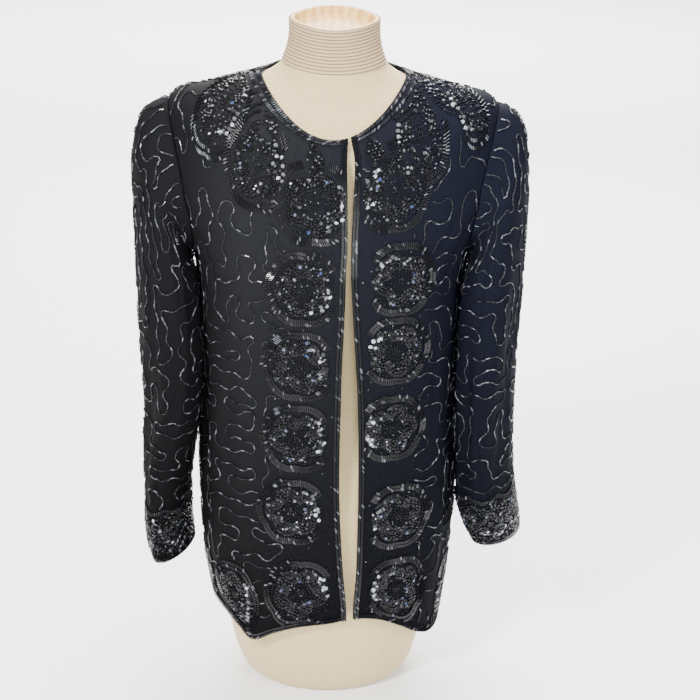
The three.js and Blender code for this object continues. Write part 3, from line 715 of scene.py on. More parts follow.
armhole_share = np.linspace(0, 1, ARMHOLE_ROWS + 1)[:-1]
PANEL_STATIONS = np.concatenate(
    [
        np.linspace(0, ARMHOLE_START, LOWER_ROWS + 1)[:-1],
        ARMHOLE_START + (ARMHOLE_END - ARMHOLE_START) * (1 - np.cos(math.pi * armhole_share)) / 2,
        np.linspace(ARMHOLE_END, NECKLINE, YOKE_ROWS + 1),
    ]
)


def front_right_edges(station):
    return -panel_end(station, True), opening_angle(station, -1)


def front_left_edges(station):
    return opening_angle(station, 1), panel_end(station, True)


def back_edges(station):
    start = panel_end(station, False)
    return start, 2 * math.pi - start


def cloth_panel(node, edges, columns, flat):
    """A body panel: a thin wall on the solid's form. Its cut is flat, as width and length."""
    share = np.linspace(0, 1, columns + 1)[None, :]
    station = PANEL_STATIONS[:, None]
    start, end = edges(station)
    angle = lerp(start, end, share)
    outer = cloth_point(angle, station)
    inner = outer - body_normal(angle, station) * WALL
    made = add_mesh(node + "_cloth", node, *wall(outer, inner, False, False), CREPE, "crepe")
    return made, flat, flat_area(outer, False)


def cloth_sleeve(node, surface, side, rows_table, flat):
    turn = np.linspace(0, 1, SLEEVE_COLUMNS + 1)[None, :-1]
    up = np.concatenate([np.linspace(0, 1, ARM_ROWS + 1)[:-1], np.linspace(1, 2, CAP_ROWS + 1)])[:, None]
    outer = surface(turn, up)
    inner = outer - sleeve_normal(rows_table, side, *np.broadcast_arrays(turn, 2 - up)) * WALL
    made = add_mesh(node + "_cloth", node, *wall(outer, inner, True, side > 0), CREPE, "crepe")
    return made, flat, flat_area(outer, True)


cloths = {
    "front_right": cloth_panel("front_right", front_right_edges, PANEL_COLUMNS, FRONT_CUT_SIZE),
    "front_left": cloth_panel("front_left", front_left_edges, PANEL_COLUMNS, FRONT_CUT_SIZE),
    "back": cloth_panel("back", back_edges, BACK_COLUMNS, BACK_CUT_SIZE),
    "sleeve_right": cloth_sleeve(
        "sleeve_right", right_sleeve, -1, RIGHT_SLEEVE, RIGHT_SLEEVE_CUT_SIZE
    ),
    "sleeve_left": cloth_sleeve("sleeve_left", left_sleeve, 1, LEFT_SLEEVE, LEFT_SLEEVE_CUT_SIZE),
}


# Dress form, neck band and cap
FORM_SIDES = 112
TORSO_RINGS = 6  # to each ring of the table
YOKE_RINGS = 18
NECK_RINGS = 9
BAND_SIDES = 96
RINGS_PER_RIB = 8
FORM_TORSO = table(
    slice(0, 6),
    [
        [0, 0, 0, 96, 74, 76], [3, 3, 3, 104, 80, 83], [14, 14, 14, 114, 87, 91],
        [36, 36, 36, 122, 93, 98], [70, 70, 70, 130, 97, 104], [120, 120, 120, 138, 101, 108],
        [190, 190, 190, 147, 106, 114], [260, 260, 260, 152, 109, 118],
        [330, 330, 330, 146, 104, 108], [400, 400, 400, 129, 93, 91], [460, 460, 460, 116, 88, 84],
        [510, 510, 510, 121, 92, 86], [560, 560, 560, 132, 104, 90], [605, 605, 605, 141, 116, 94],
        [640, 650, 645, 149, 116, 96], [680, 708, 695, 163, 106, 90],
    ],
)
# Station of the jacket's ring that a ring of the form follows, and how much lower, narrower and
# shallower it is
FORM_YOKE = table(
    slice(1, 4), [[7.4, 9, 9, 9], [8, 2.5, 1, 5], [8.5, 2.5, 1, 5], [9, 2.7, 2, 6]]
)
FORM_NECK_SLOPE = np.array([790, 822, 833, 69, 67, 58]) * MM  # below the band's foot
NECK_TOP_SHARE = 0.55
NECK_CLEAR = 0.5 * MM
BAND_FOOT = np.array([823, 829.6, 840.6, 63, 62, 55]) * MM
BAND_RIM = np.array([872, 880, 887, 54.5, 53, 52]) * MM
BAND_WAIST = 3.5 * MM
BAND_THICK = 1.8 * MM
BAND_RIBS = 13
RIB_DEPTH = 0.7 * MM
CAP_GAP = 0.4 * MM
CAP_FOOT_SHARE = 0.6
CAP_DISH_DEPTH = 11 * MM
CAP_RIM_WIDTH = 3 * MM
CAP_DISH_SLOPE = 5 * MM
SEAM_ANGLES = np.radians([-180, -142, -90, -38, 0, 38, 90, 142])
SEAM_HALF_WIDTH = math.radians(0.5)
SEAM_DEPTH = 0.7 * MM


def band_ring(share, out, angle):
    """A ring of the neck band at a share of its height, moved outwards."""
    sizes = lerp(BAND_FOOT, BAND_RIM, share)
    sizes[3:] += out - BAND_WAIST * math.sin(math.pi * share)
    return ring_point(list(sizes), 2, angle)


def lathe(name, node, rings, material, slot, is_tube=False):
    """A closed solid from rings, bottom to top. It has flat ends, or its last ring meets its first."""
    rows, sides = len(rings), len(rings[0])
    points = np.concatenate(rings)
    if is_tube:
        faces = grid_faces(rows + 1, sides, True) % (rows * sides)
        return add_mesh(name, node, points, faces, material, slot)
    faces = grid_faces(rows, sides, True)
    ends = np.array([points[:sides].mean(0), points[-sides:].mean(0)])
    around = np.arange(sides)
    after = (around + 1) % sides
    count = rows * sides
    bottom = np.stack([after, around, np.full(sides, count)], -1)
    top = np.stack([around + count - sides, after + count - sides, np.full(sides, count + 1)], -1)
    faces = [*faces.tolist(), *bottom.tolist(), *top.tolist()]
    return add_mesh(name, node, np.concatenate([points, ends]), faces, material, slot)


def dress_form():
    beside = SEAM_ANGLES[:, None] + SEAM_HALF_WIDTH * np.array([-2, -1, 0, 1, 2])[None, :]
    even = np.linspace(-math.pi, math.pi, FORM_SIDES + 1)[:-1]
    far = np.abs((even[:, None] - SEAM_ANGLES[None, :] + math.pi) % (2 * math.pi) - math.pi).min(1)
    angle = np.sort(np.concatenate([even[far > SEAM_HALF_WIDTH * 3], beside.ravel()]))
    apart = (angle[:, None] - SEAM_ANGLES[None, :] + math.pi) % (2 * math.pi) - math.pi
    seam = SEAM_DEPTH * bell(np.abs(apart).min(1), SEAM_HALF_WIDTH * 1.5)
    torso = np.column_stack([np.arange(len(FORM_TORSO)), FORM_TORSO])
    rings = []
    for at in np.linspace(0, len(torso) - 1, TORSO_RINGS * len(torso)):
        rings.append(ring_point([along(torso, column, at) for column in range(1, 7)], 2, angle))
    for station in np.linspace(FORM_YOKE[0, 0], NECKLINE, YOKE_RINGS):
        lower, narrower, shallower = (along(FORM_YOKE, column, station) for column in (1, 2, 3))
        less = [lower] * 3 + [narrower] + [shallower] * 2
        sizes = [size - cut for size, cut in zip(body_sizes(station), less)]
        rings.append(ring_point(sizes, 2, angle))
    slope = ring_point(list(FORM_NECK_SLOPE), 2, angle)
    foot = band_ring(0, -BAND_THICK - NECK_CLEAR, angle)
    rings += [lerp(rings[-1], slope, 0.5), slope, lerp(slope, foot, 0.5)]
    for share in np.linspace(0, NECK_TOP_SHARE, NECK_RINGS):
        rings.append(band_ring(share, -BAND_THICK - NECK_CLEAR, angle))
    inward = -np.stack([np.sin(angle), -np.cos(angle), 0 * angle], -1) * seam[:, None]
    rings = [ring + inward for ring in rings]
    lathe("form_jersey", "dress_form", rings, JERSEY, "jersey")


band_angles = np.linspace(0, 2 * math.pi, BAND_SIDES + 1)[:-1]


def neck_band():
    angle = band_angles
    shares = np.linspace(0, 1, RINGS_PER_RIB * BAND_RIBS + 1)
    groove = np.cos(math.pi * BAND_RIBS * shares) ** 6
    outer = [band_ring(share, -RIB_DEPTH * depth, angle) for share, depth in zip(shares, groove)]
    inner = [band_ring(share, -BAND_THICK, angle) for share in np.linspace(1, 0, 13)]
    made = lathe("neck_band_rib", "neck_ribbing", outer + inner, RIB, "jersey_rib", is_tube=True)
    # The groove marks also drive the painted shade in the grooves
    layer = made.data.attributes.new("groove", "FLOAT", "POINT")
    marks = np.repeat(np.concatenate([groove, np.zeros(len(inner))]), len(angle))
    layer.data.foreach_set("value", marks.astype(np.float32))


def neck_cap():
    def side_ring(share, inset):
        return band_ring(share, -BAND_THICK - CAP_GAP - inset, band_angles)

    def dish(drop, inset):
        sizes = BAND_RIM.copy()
        sizes[:3] -= drop
        sizes[3:] -= BAND_THICK + CAP_GAP + inset
        return ring_point(list(sizes), 2, band_angles)

    floor_edge = CAP_RIM_WIDTH + CAP_DISH_SLOPE
    rings = [
        side_ring(CAP_FOOT_SHARE, 1 * MM),
        side_ring((CAP_FOOT_SHARE + 1) / 2, 0),
        side_ring(0.98, 0),
        dish(0, 1 * MM),
        dish(0, CAP_RIM_WIDTH),
        dish(0.5 * MM, CAP_RIM_WIDTH + 0.6 * MM),
        dish(1.5 * MM, CAP_RIM_WIDTH + 1 * MM),
        dish(CAP_DISH_DEPTH - 2 * MM, floor_edge),
        dish(CAP_DISH_DEPTH - 0.6 * MM, floor_edge + 1.2 * MM),
        dish(CAP_DISH_DEPTH, floor_edge + 3 * MM),
    ]
    lathe("neck_cap_wood", "neck_cap", rings, WOOD, "wood_cap")


dress_form()
neck_band()
neck_cap()


# Beadwork
#
# Places on a cloth are given in metres across and up it, as on the flat panel. Across is measured
# from the middle of the front or back, or from the top line of a sleeve, and up from the hem or cuff.
# Margins are from a cloth's left, right, lower and upper edges.
QUARTER = math.pi / 2
FLAT_COLUMNS = 161  # points across a cloth that is laid out flat
FLAT_ROWS = 121  # and up a sleeve
SETTLING_ROUNDS = 3  # to find a place on a sleeve, whose rows and columns both bend
COLUMN_WIDTH = 72 * MM  # the plain strip along each front edge that only rosettes cross
SEAM_MARGIN = 2.5 * MM
EDGING_MARGIN = 12 * MM

# Beads: bugles on the wandering line, rods on borders and edgings, round seeds, and flat sequins.
# A step is from one bead of a line to the next.
BUGLE_LENGTH = 5 * MM
BUGLE_THICK = 1.6 * MM
BUGLE_STEP = 5.7 * MM
SEED_SIZE = 2.4 * MM
SEED_STEP = 2.7 * MM
ROD_LENGTH = 4.4 * MM
ROD_THICK = 2.0 * MM
ROD_STEP = 3.0 * MM
SEQUIN_SIZE = 4.8 * MM
SEQUIN_STEP = 3.7 * MM
SEQUIN_ROW = 3.9 * MM
SEQUIN_THICK = 0.8 * MM
HEADING_STEP = 0.5 * MM  # over which a bead's direction is measured
SIDE_STEP = 0.003  # of a surface's coordinate, where its facing is measured

# The wandering line of bugles
THREAD_SPACING = 17.5 * MM
THREAD_WANDER = 5.5 * MM  # how far its corners are moved at random
THREAD_WAVE = 2.4 * MM
THREAD_WAVELENGTH = 31 * MM
THREAD_POINTS = 12  # of the curve, to each corner
THREAD_CLEAR = 1.32  # radii from a rosette's middle that it keeps away, and a little more
THREAD_MARGIN = 4 * MM

# Scattered beads
SCATTER_ROW = 0.87  # from row to row, in spacings
SCATTER_SHIFT = 0.28  # the most that a bead is moved at random, in spacings
LONE_SPACING = 11 * MM
LONE_REACH = 140 * MM  # to each side of the middle of the front
LONE_FOOT = 10 * MM
LONE_KEPT = 0.75
LONE_FROM_EDGE = 10 * MM
LONE_PAST_COLUMN = 20 * MM

# Cuffs
CUFF_ROSETTES = 5
CUFF_RADIUS = 19 * MM
CUFF_FOOT = 10.5 * MM
CUFF_OVERLAP = 20 * MM
CUFF_SPACING = 4.3 * MM
CUFF_SCALLOPS = 6
CUFF_SCALLOP_DEPTH = 8 * MM
CUFF_TOP_STEP = 3.4 * MM
CUFF_MARGINS = (1 * MM, 1 * MM, 9 * MM, 0)
NO_BORDER = 0.01  # the reach of a border that is all but left out
CUFF_MIX = (("sequin", 0, 0.5), ("foil", 0.5, 0.56), ("seed", 0.56, 1))  # kind, range of a draw


def developed(surface, sign, us, vs, zero, edges, margins):
    """A cloth laid out flat: distances across each row from the line u = zero, and up that line."""
    grid = surface(us[None, :], vs[:, None])
    steps = np.linalg.norm(np.diff(grid, axis=1), axis=2)
    across = np.concatenate([np.zeros((len(vs), 1)), np.cumsum(steps, axis=1)], 1)
    across -= np.array([np.interp(zero, us, row) for row in across])[:, None]
    line = surface(np.full(len(vs), zero), vs)
    up = np.concatenate([[0], np.cumsum(np.linalg.norm(np.diff(line, axis=0), axis=1))])
    ends = [
        np.array([np.interp(u, us, row) for u, row in zip(np.broadcast_to(edge, len(vs)), across)])
        for edge in edges(vs)
    ]
    return {
        "surface": surface, "sign": sign, "us": us, "vs": vs, "across": across, "up": up,
        "edges": ends, "margins": margins,
    }


def along_row(cloth, across, v):
    """The surface's u at distances across a cloth's rows."""
    row = np.interp(v, cloth["vs"], np.arange(len(cloth["vs"])))
    low = np.clip(row.astype(int), 0, len(cloth["vs"]) - 2)
    lines = lerp(cloth["across"][low], cloth["across"][low + 1], (row - low)[:, None])
    return np.array([np.interp(a, line, cloth["us"]) for a, line in zip(across, lines)])


def along_column(cloth, up, u):
    """The surface's v at distances up a sleeve's own columns."""
    column = np.interp(u, cloth["us"], np.arange(len(cloth["us"])))
    left = np.clip(column.astype(int), 0, len(cloth["us"]) - 2)
    lines = lerp(cloth["rise"][left], cloth["rise"][left + 1], (column - left)[:, None])
    return np.array([np.interp(a, line, cloth["vs"]) for a, line in zip(up, lines)])


def locate(cloth, across, up):
    """Surface coordinates of places on a cloth."""
    v = np.interp(up, cloth["up"], cloth["vs"])
    u = along_row(cloth, across, v)
    if "rise" in cloth:
        for _ in range(SETTLING_ROUNDS):
            v = along_column(cloth, up, u)
            u = along_row(cloth, across, v)
    return u, v


def place_of(cloth, u, v):
    """The place on a cloth of one pair of surface coordinates."""
    row = np.interp(v, cloth["vs"], np.arange(len(cloth["vs"])))
    low = min(int(row), len(cloth["vs"]) - 2)
    line = lerp(cloth["across"][low], cloth["across"][low + 1], row - low)
    return float(np.interp(u, cloth["us"], line)), float(np.interp(v, cloth["vs"], cloth["up"]))


def room(cloth, across, up, margins):
    """How far places are inside the cloth's left, right, lower and upper edges, less the margins."""
    left, right, lower, upper = margins
    u, v = locate(cloth, across, up)
    start, end = (np.interp(v, cloth["vs"], edge) for edge in cloth["edges"])
    sideways = np.minimum(across - start - left, end - across - right)
    top = np.interp(u, cloth["us"], cloth["rise"][:, -1]) if "rise" in cloth else cloth["up"][-1]
    return np.minimum(sideways, np.minimum(up - lower, top - up - upper))


def seat(cloth, across, up, heading, lift):
    """Points, facings and directions of beads on a cloth. Heading is in radians from across it."""
    u, v = locate(cloth, across, up)
    surface = cloth["surface"]
    inside = np.clip(v, cloth["vs"][0] + 2 * STEP, cloth["vs"][-1] - 2 * STEP)
    side = surface(u + SIDE_STEP, inside) - surface(u - SIDE_STEP, inside)
    rise = surface(u, inside + STEP) - surface(u, inside - STEP)
    facing = cloth["sign"] * unit(np.cross(side, rise))
    step_across, step_up = HEADING_STEP * np.cos(heading), HEADING_STEP * np.sin(heading)
    ahead = surface(*locate(cloth, across + step_across, up + step_up))
    behind = surface(*locate(cloth, across - step_across, up - step_up))
    direction = ahead - behind
    is_short = np.linalg.norm(direction, axis=-1, keepdims=True) < HEADING_STEP / 10
    direction = unit(np.where(is_short, side, direction))
    return surface(u, v) + facing * lift, facing, direction


def body_cloth(edges, zero, reach, margins):
    us = np.linspace(zero - reach, zero + reach, FLAT_COLUMNS)
    return developed(cloth_point, 1, us, PANEL_STATIONS, zero, edges, margins)


def sleeve_cloth_flat(surface, side):
    us = np.linspace(-0.5, 0.5, FLAT_COLUMNS)
    vs = np.linspace(0, 2, FLAT_ROWS)

    def edges(at):
        return np.full(len(at), -0.5), np.full(len(at), 0.5)

    margins = (2 * MM, 2 * MM, CUFF_BAND + 6 * MM, 3 * MM)
    cloth = developed(surface, -side, us, vs, 0, edges, margins)
    steps = np.linalg.norm(np.diff(surface(us[None, :], vs[:, None]), axis=0), axis=2)
    cloth["rise"] = np.concatenate([np.zeros((1, len(us))), np.cumsum(steps, axis=0)]).T
    return cloth


flat_cloths = {
    "front_right": body_cloth(
        front_right_edges, 0, QUARTER, (SEAM_MARGIN, COLUMN_WIDTH, EDGING_MARGIN, EDGING_MARGIN)
    ),
    "front_left": body_cloth(
        front_left_edges, 0, QUARTER, (COLUMN_WIDTH, SEAM_MARGIN, EDGING_MARGIN, EDGING_MARGIN)
    ),
    "back": body_cloth(
        back_edges, math.pi, QUARTER, (SEAM_MARGIN, SEAM_MARGIN, EDGING_MARGIN, EDGING_MARGIN)
    ),
    "sleeve_right": sleeve_cloth_flat(right_sleeve, -1),
    "sleeve_left": sleeve_cloth_flat(left_sleeve, 1),
}

laid = {}


def lay(cloth_name, kind, across, up, heading, piece=None):
    """Adds beads of a kind at places on a cloth, to the cloth's own piece of them or a named one."""
    piece = piece or kind + "s_" + cloth_name
    heading = np.broadcast_to(heading, np.shape(across))
    on_cloth = laid.setdefault((piece, kind), {}).setdefault(cloth_name, [])
    on_cloth.append((across, up, heading))


LIFTS = {
    "bugle": BUGLE_THICK / 2, "seed": SEED_SIZE / 2, "rod": ROD_THICK / 2, "sequin": 0.7 * MM,
    "foil": 1.2 * MM, "cord": ROD_THICK / 2,
}


FLAT_KINDS = ("sequin", "foil")
BEAD_CLEAR = 0.05 * MM
FLAT_RAISED = 1.1 * MM  # the most that a sequin or foil lies on others
FLAT_TILT = 0.28
FLAT_UNEVENNESS = 0.2


def seated(kind, on_cloths, random):
    """Points, facings, directions and colour draws, which pick painted glints too, of all the beads of a
    kind in a piece.
    """
    made = []
    for cloth_name, places in on_cloths.items():
        across, up, heading = (np.concatenate(values) for values in zip(*places))
        cloth = flat_cloths[cloth_name]
        point, facing, direction = seat(cloth, across, up, heading, LIFTS[kind] + BEAD_CLEAR)
        if kind in FLAT_KINDS:
            point = point + facing * random.uniform(0, FLAT_RAISED, (len(point), 1))
            uneven = random.normal(0, FLAT_UNEVENNESS, facing.shape)
            facing = unit(facing + FLAT_TILT * direction + uneven)
        made.append((point, facing, direction, random.random(len(point))))
    return [np.concatenate(values) for values in zip(*made)]


# Rosettes: degrees round the body, station, radius
ROSETTES = table(
    slice(2, 3),
    [
        [-10, 0.65, 35], [-13, 1.9, 34], [-11, 2.75, 34], [-10, 3.65, 34], [-8, 4.8, 34],
        [-4, 6.45, 36], [-25, 7.2, 32], [-41, 8.6, 20], [-64, 8.0, 29], [-46, 0.5, 27],
        [32, 0.65, 34], [30, 1.8, 34], [25, 2.85, 33], [25, 3.85, 33], [25, 4.95, 33],
        [18, 6.75, 34], [41, 7.85, 30], [74, 8.4, 20], [72, 7.7, 22], [78, 0.45, 26],
        [115, 0.5, 28], [147, 0.5, 30], [180, 0.6, 34], [-147, 0.5, 30], [-115, 0.5, 28],
        [-80, 0.5, 24], [112, 8.1, 26], [142, 8.2, 28], [180, 8.1, 34], [-142, 8.2, 28],
        [-112, 8.1, 26], [180, 7.0, 32], [180, 5.9, 28], [-7, 7.95, 17], [19, 7.95, 17],
    ],
)
OUTWARD = {"front_right": math.pi, "front_left": 0.0, "back": QUARTER}  # the way a border faces
FULLY_BORDERED = (8, 9)  # rows of ROSETTES, on the right front, with a border all round
LARGEST_LEAF = 21 * MM  # a smaller motif is a leaf
PAST_EDGE = 0.25  # radians past a cloth's edge at which a rosette still reaches it
BODY_RADIUS = 0.16  # roughly, to turn those radians into a distance
NEIGHBOUR_CLEAR = 0.98  # share of a neighbour's radius that is left to it
OVERLAP_CLEAR = 0.8  # and where the neighbour comes later in the table
ROSETTE_MARGINS = (1.5 * MM, 1.5 * MM, 8 * MM, 8 * MM)

# Parts of a rosette. Where a value isn't in millimetres, it is a share of the rosette's radius, or a
# reach in radians to each side of the part's middle.
FIVE_PETALS_FROM = 26 * MM  # a smaller rosette has four
PETAL_OUT = 0.55  # from the rosette's middle to a petal's
PETAL_SIZE = 0.43
PETAL_REACH = 2.1
PETAL_RIM = 1.15  # share of the petal's own radius
PETAL_RIM_REACH = 1.7
SMALLEST_PETAL_ROW = 2.5 * MM
COIL_TURNS = 2.4
COIL_BEADS = 30
COIL_START = 1.2 * MM
COIL_SIZE = 0.24
BORDER_ROWS = 2
BORDER_OUT = 1.12
BORDER_STEP = 4.6 * MM
BORDER_REACH = 2.5
BORDER_SLANT = 0.35  # radians that each bead of a border is turned from pointing outwards
BORDER_CROWDING = 1.15  # step from rod to rod, in their thickness
SCALLOP_DEPTH = 0.09
FOIL_ROWS = 2
FOIL_OUT = 0.98
FOIL_STEP = 4.2 * MM
FOIL_REACH = 0.75
FOIL_KEPT = 0.75  # share of the foils, the rest left out at random
FILLING_OUT = 1.08
FILLING_STEP = 3.3 * MM
FILLING_CLEAR = 2.6 * MM
LEAF_LENGTH = 1.25
LEAF_WIDTH = 0.55
LEAF_BEND = 0.25  # how far a row of sequins bends back, by its distance from the leaf's middle


def arc(radius, start, end, spacing):
    count = max(int(round(radius * (end - start) / spacing)), 2)
    return np.linspace(start, end, count)


def filling(random, radius, parts):
    """Small beads over the cloth that the rest of a rosette leaves bare."""
    x, y = scatter(random, (-radius, -radius), (radius, radius), FILLING_STEP)
    others_x = np.concatenate([part[1] for part in parts])
    others_y = np.concatenate([part[2] for part in parts])
    nearest = np.hypot(x[:, None] - others_x, y[:, None] - others_y).min(1)
    kept = (np.hypot(x, y) < radius) & (nearest > FILLING_CLEAR)
    return [("seed", x[kept], y[kept], 0 * x[kept])]


def rosette(random, radius, outward, border_reach):
    """Sequins and beads of one rosette about its middle.

    It has petals in rows of sequins, a coiled heart, a scalloped double border round its outward
    side, a crescent of foils with painted flashes on the other side, and small beads in between.
    """
    parts = []
    petals = 5 if radius > FIVE_PETALS_FROM else 4
    turn = random.uniform(0, 2 * math.pi)
    for k in range(petals):
        way = turn + 2 * math.pi * k / petals + random.normal(0, 0.08)
        own = radius * PETAL_SIZE * random.uniform(0.9, 1.05)
        x, y = radius * PETAL_OUT * math.cos(way), radius * PETAL_OUT * math.sin(way)
        for r in np.arange(own, SMALLEST_PETAL_ROW, -SEQUIN_ROW):
            angles = way + arc(r, -PETAL_REACH, PETAL_REACH, SEQUIN_STEP)
            parts.append(("sequin", x + r * np.cos(angles), y + r * np.sin(angles), angles))
        rim = own * PETAL_RIM
        angles = way + arc(rim, -PETAL_RIM_REACH, PETAL_RIM_REACH, SEED_STEP)
        parts.append(("seed", x + rim * np.cos(angles), y + rim * np.sin(angles), angles))
    coil = np.linspace(0, COIL_TURNS * 2 * math.pi, COIL_BEADS)
    r = lerp(COIL_START, radius * COIL_SIZE, coil / coil[-1])
    parts.append(("seed", r * np.cos(coil), r * np.sin(coil), coil))
    for row in range(BORDER_ROWS):
        base = radius * BORDER_OUT + row * BORDER_STEP
        angles = outward + arc(base, -border_reach, border_reach, ROD_THICK * BORDER_CROWDING)
        r = base + SCALLOP_DEPTH * radius * np.abs(np.cos(3 * (angles - outward)))
        parts.append(("rod", r * np.cos(angles), r * np.sin(angles), angles + BORDER_SLANT))
    middle = outward + math.pi + random.uniform(-0.5, 0.5)
    for row in range(FOIL_ROWS):
        reach = FOIL_REACH * random.uniform(0.6, 1.2)
        angles = middle + arc(radius, -reach, reach, SEQUIN_STEP)
        angles = angles[random.random(len(angles)) < FOIL_KEPT]
        r = radius * FOIL_OUT - row * FOIL_STEP + random.normal(0, 1 * MM, len(angles))
        parts.append(("foil", r * np.cos(angles), r * np.sin(angles), angles))
    parts += filling(random, radius * FILLING_OUT, parts)
    return parts


def leaf(radius, way):
    """A pointed leaf of rows of sequins between two lines of beads."""
    parts = []
    share = np.linspace(-1, 1, int(2.6 * radius / SEED_STEP))
    half = LEAF_WIDTH * radius * (1 - share**2)
    c, s = math.cos(way), math.sin(way)
    for edge in (-1, 1):
        x, y = LEAF_LENGTH * radius * share, edge * half
        parts.append(("seed", c * x - s * y, s * x + c * y, np.full(len(x), way)))
    for x0 in np.arange(-0.95 * radius, 0.96 * radius, SEQUIN_ROW):
        reach = LEAF_WIDTH * radius * (1 - (x0 / radius / LEAF_LENGTH) ** 2) - 2 * MM
        y = np.arange(-reach, reach + 1e-6, SEQUIN_STEP) if reach > 0 else np.zeros(0)
        x = x0 + LEAF_BEND * np.abs(y)
        parts.append(("sequin", c * x - s * y, s * x + c * y, np.full(len(x), way)))
    return parts


def rosette_places(name):
    """Centres and radii of the rosettes that reach a body panel, as places on its cloth."""
    cloth = flat_cloths[name]
    found = []
    for degrees, station, radius in ROSETTES:
        angle = math.radians(degrees % 360 if name == "back" else degrees)
        edge = np.clip(angle, cloth["us"][0], cloth["us"][-1])
        if abs(angle - edge) < PAST_EDGE:
            across, up = place_of(cloth, edge, station)
            found.append((across + (angle - edge) * BODY_RADIUS, up, radius))
    return found


def bead_rosettes(name, random):
    cloth = flat_cloths[name]
    found = rosette_places(name)
    for k, (across, up, radius) in enumerate(found):
        if radius < LARGEST_LEAF:
            parts = leaf(radius, random.uniform(0.6, 2.2))
        else:
            is_full = name == "back" or k in FULLY_BORDERED
            parts = rosette(random, radius, OUTWARD[name], math.pi if is_full else BORDER_REACH)
        for kind, x, y, heading in parts:
            x, y = across + x, up + y
            kept = room(cloth, x, y, ROSETTE_MARGINS) > 0
            for other, (a, b, r) in enumerate(found):
                if other != k:
                    share = NEIGHBOUR_CLEAR if other < k or kind == "rod" else OVERLAP_CLEAR
                    kept &= np.hypot(x - a, y - b) > r * share
            lay(name, kind, x[kept], y[kept], heading[kept])


def wandering_thread(random, columns, rows):
    """A closed line that fills a grid evenly and never crosses itself, as cells in order.

    It runs round a random tree that joins squares of two by two cells.
    """
    joined = set()
    seen = {(0, 0)}
    border = [((0, 0), (1, 0)), ((0, 0), (0, 1))]
    while border:
        here, there = border.pop(int(random.integers(len(border))))
        i, j = there
        if there in seen or not (0 <= i < columns and 0 <= j < rows):
            continue
        seen.add(there)
        joined |= {(here, there), (there, here)}
        border += [(there, (i + a, j + b)) for a, b in ((1, 0), (-1, 0), (0, 1), (0, -1))]
    line = [(0, 0)]
    while len(line) < 4 * columns * rows:
        x, y = line[-1]
        square = (x // 2, y // 2)
        for a, b in ((1, 0), (0, 1), (-1, 0), (0, -1)):
            after = (x + a, y + b)
            other = (after[0] // 2, after[1] // 2)
            if other == square:
                beside = (x % 2 * 2 - 1, 0) if b else (0, y % 2 * 2 - 1)
                away = (square[0] + beside[0], square[1] + beside[1])
                is_open = (square, away) not in joined
            else:
                is_open = (square, other) in joined
            if is_open and (len(line) < 2 or after != line[-2]):
                line.append(after)
                break
    return np.array(line, float)


def rounded(line, count):
    """A closed quadratic B-spline of a line's corners, with count points to a corner."""
    before, after = (line + np.roll(line, 1, 0)) / 2, (line + np.roll(line, -1, 0)) / 2
    t = (np.arange(count) / count)[None, :, None]
    curve = (1 - t) ** 2 * before[:, None] + 2 * (1 - t) * t * line[:, None] + t**2 * after[:, None]
    return curve.reshape(-1, 2)


def lengths_along(curve):
    steps = np.linalg.norm(np.diff(curve, axis=0), axis=1)
    return np.concatenate([[0], np.cumsum(steps)])


def bead_vermicelli(name, random, found):
    """Bugles end to end along a wandering line over the cloth that nothing else covers."""
    cloth = flat_cloths[name]
    left, right = cloth["edges"][0].min(), cloth["edges"][1].max()
    columns = math.ceil((right - left) / THREAD_SPACING / 2)
    rows = math.ceil(cloth["up"][-1] / THREAD_SPACING / 2)
    corners = wandering_thread(random, columns, rows) * THREAD_SPACING
    corners += random.uniform(-THREAD_WANDER, THREAD_WANDER, corners.shape)
    curve = rounded(corners, THREAD_POINTS) + [left, THREAD_SPACING / 2]
    slope = unit(np.gradient(curve, axis=0))
    wave = THREAD_WAVE * np.sin(2 * math.pi * lengths_along(curve) / THREAD_WAVELENGTH)
    curve += np.stack([-slope[:, 1], slope[:, 0]], 1) * wave[:, None]
    length = lengths_along(cloth["surface"](*locate(cloth, curve[:, 0], curve[:, 1])))
    at = np.arange(0, length[-1], BUGLE_STEP)
    across, up = (np.interp(at, length, curve[:, k]) for k in (0, 1))
    heading = np.arctan2(np.gradient(up), np.gradient(across))
    kept = room(cloth, across, up, cloth["margins"]) > 0
    for a, b, r in found:
        kept &= np.hypot(across - a, up - b) > r * THREAD_CLEAR + THREAD_MARGIN
    lay(name, "bugle", across[kept], up[kept], heading[kept])


def scatter(random, low, high, spacing):
    """Uneven places about a spacing apart, over a box of two corners."""
    columns = np.arange(low[0], high[0], spacing)
    x, y = np.meshgrid(columns, np.arange(low[1], high[1], spacing * SCATTER_ROW))
    x = x + spacing / 2 * (np.arange(len(x)) % 2)[:, None]
    shift = random.uniform(-SCATTER_SHIFT, SCATTER_SHIFT, (2, *x.shape)) * spacing
    return (x + shift[0]).ravel(), (y + shift[1]).ravel()


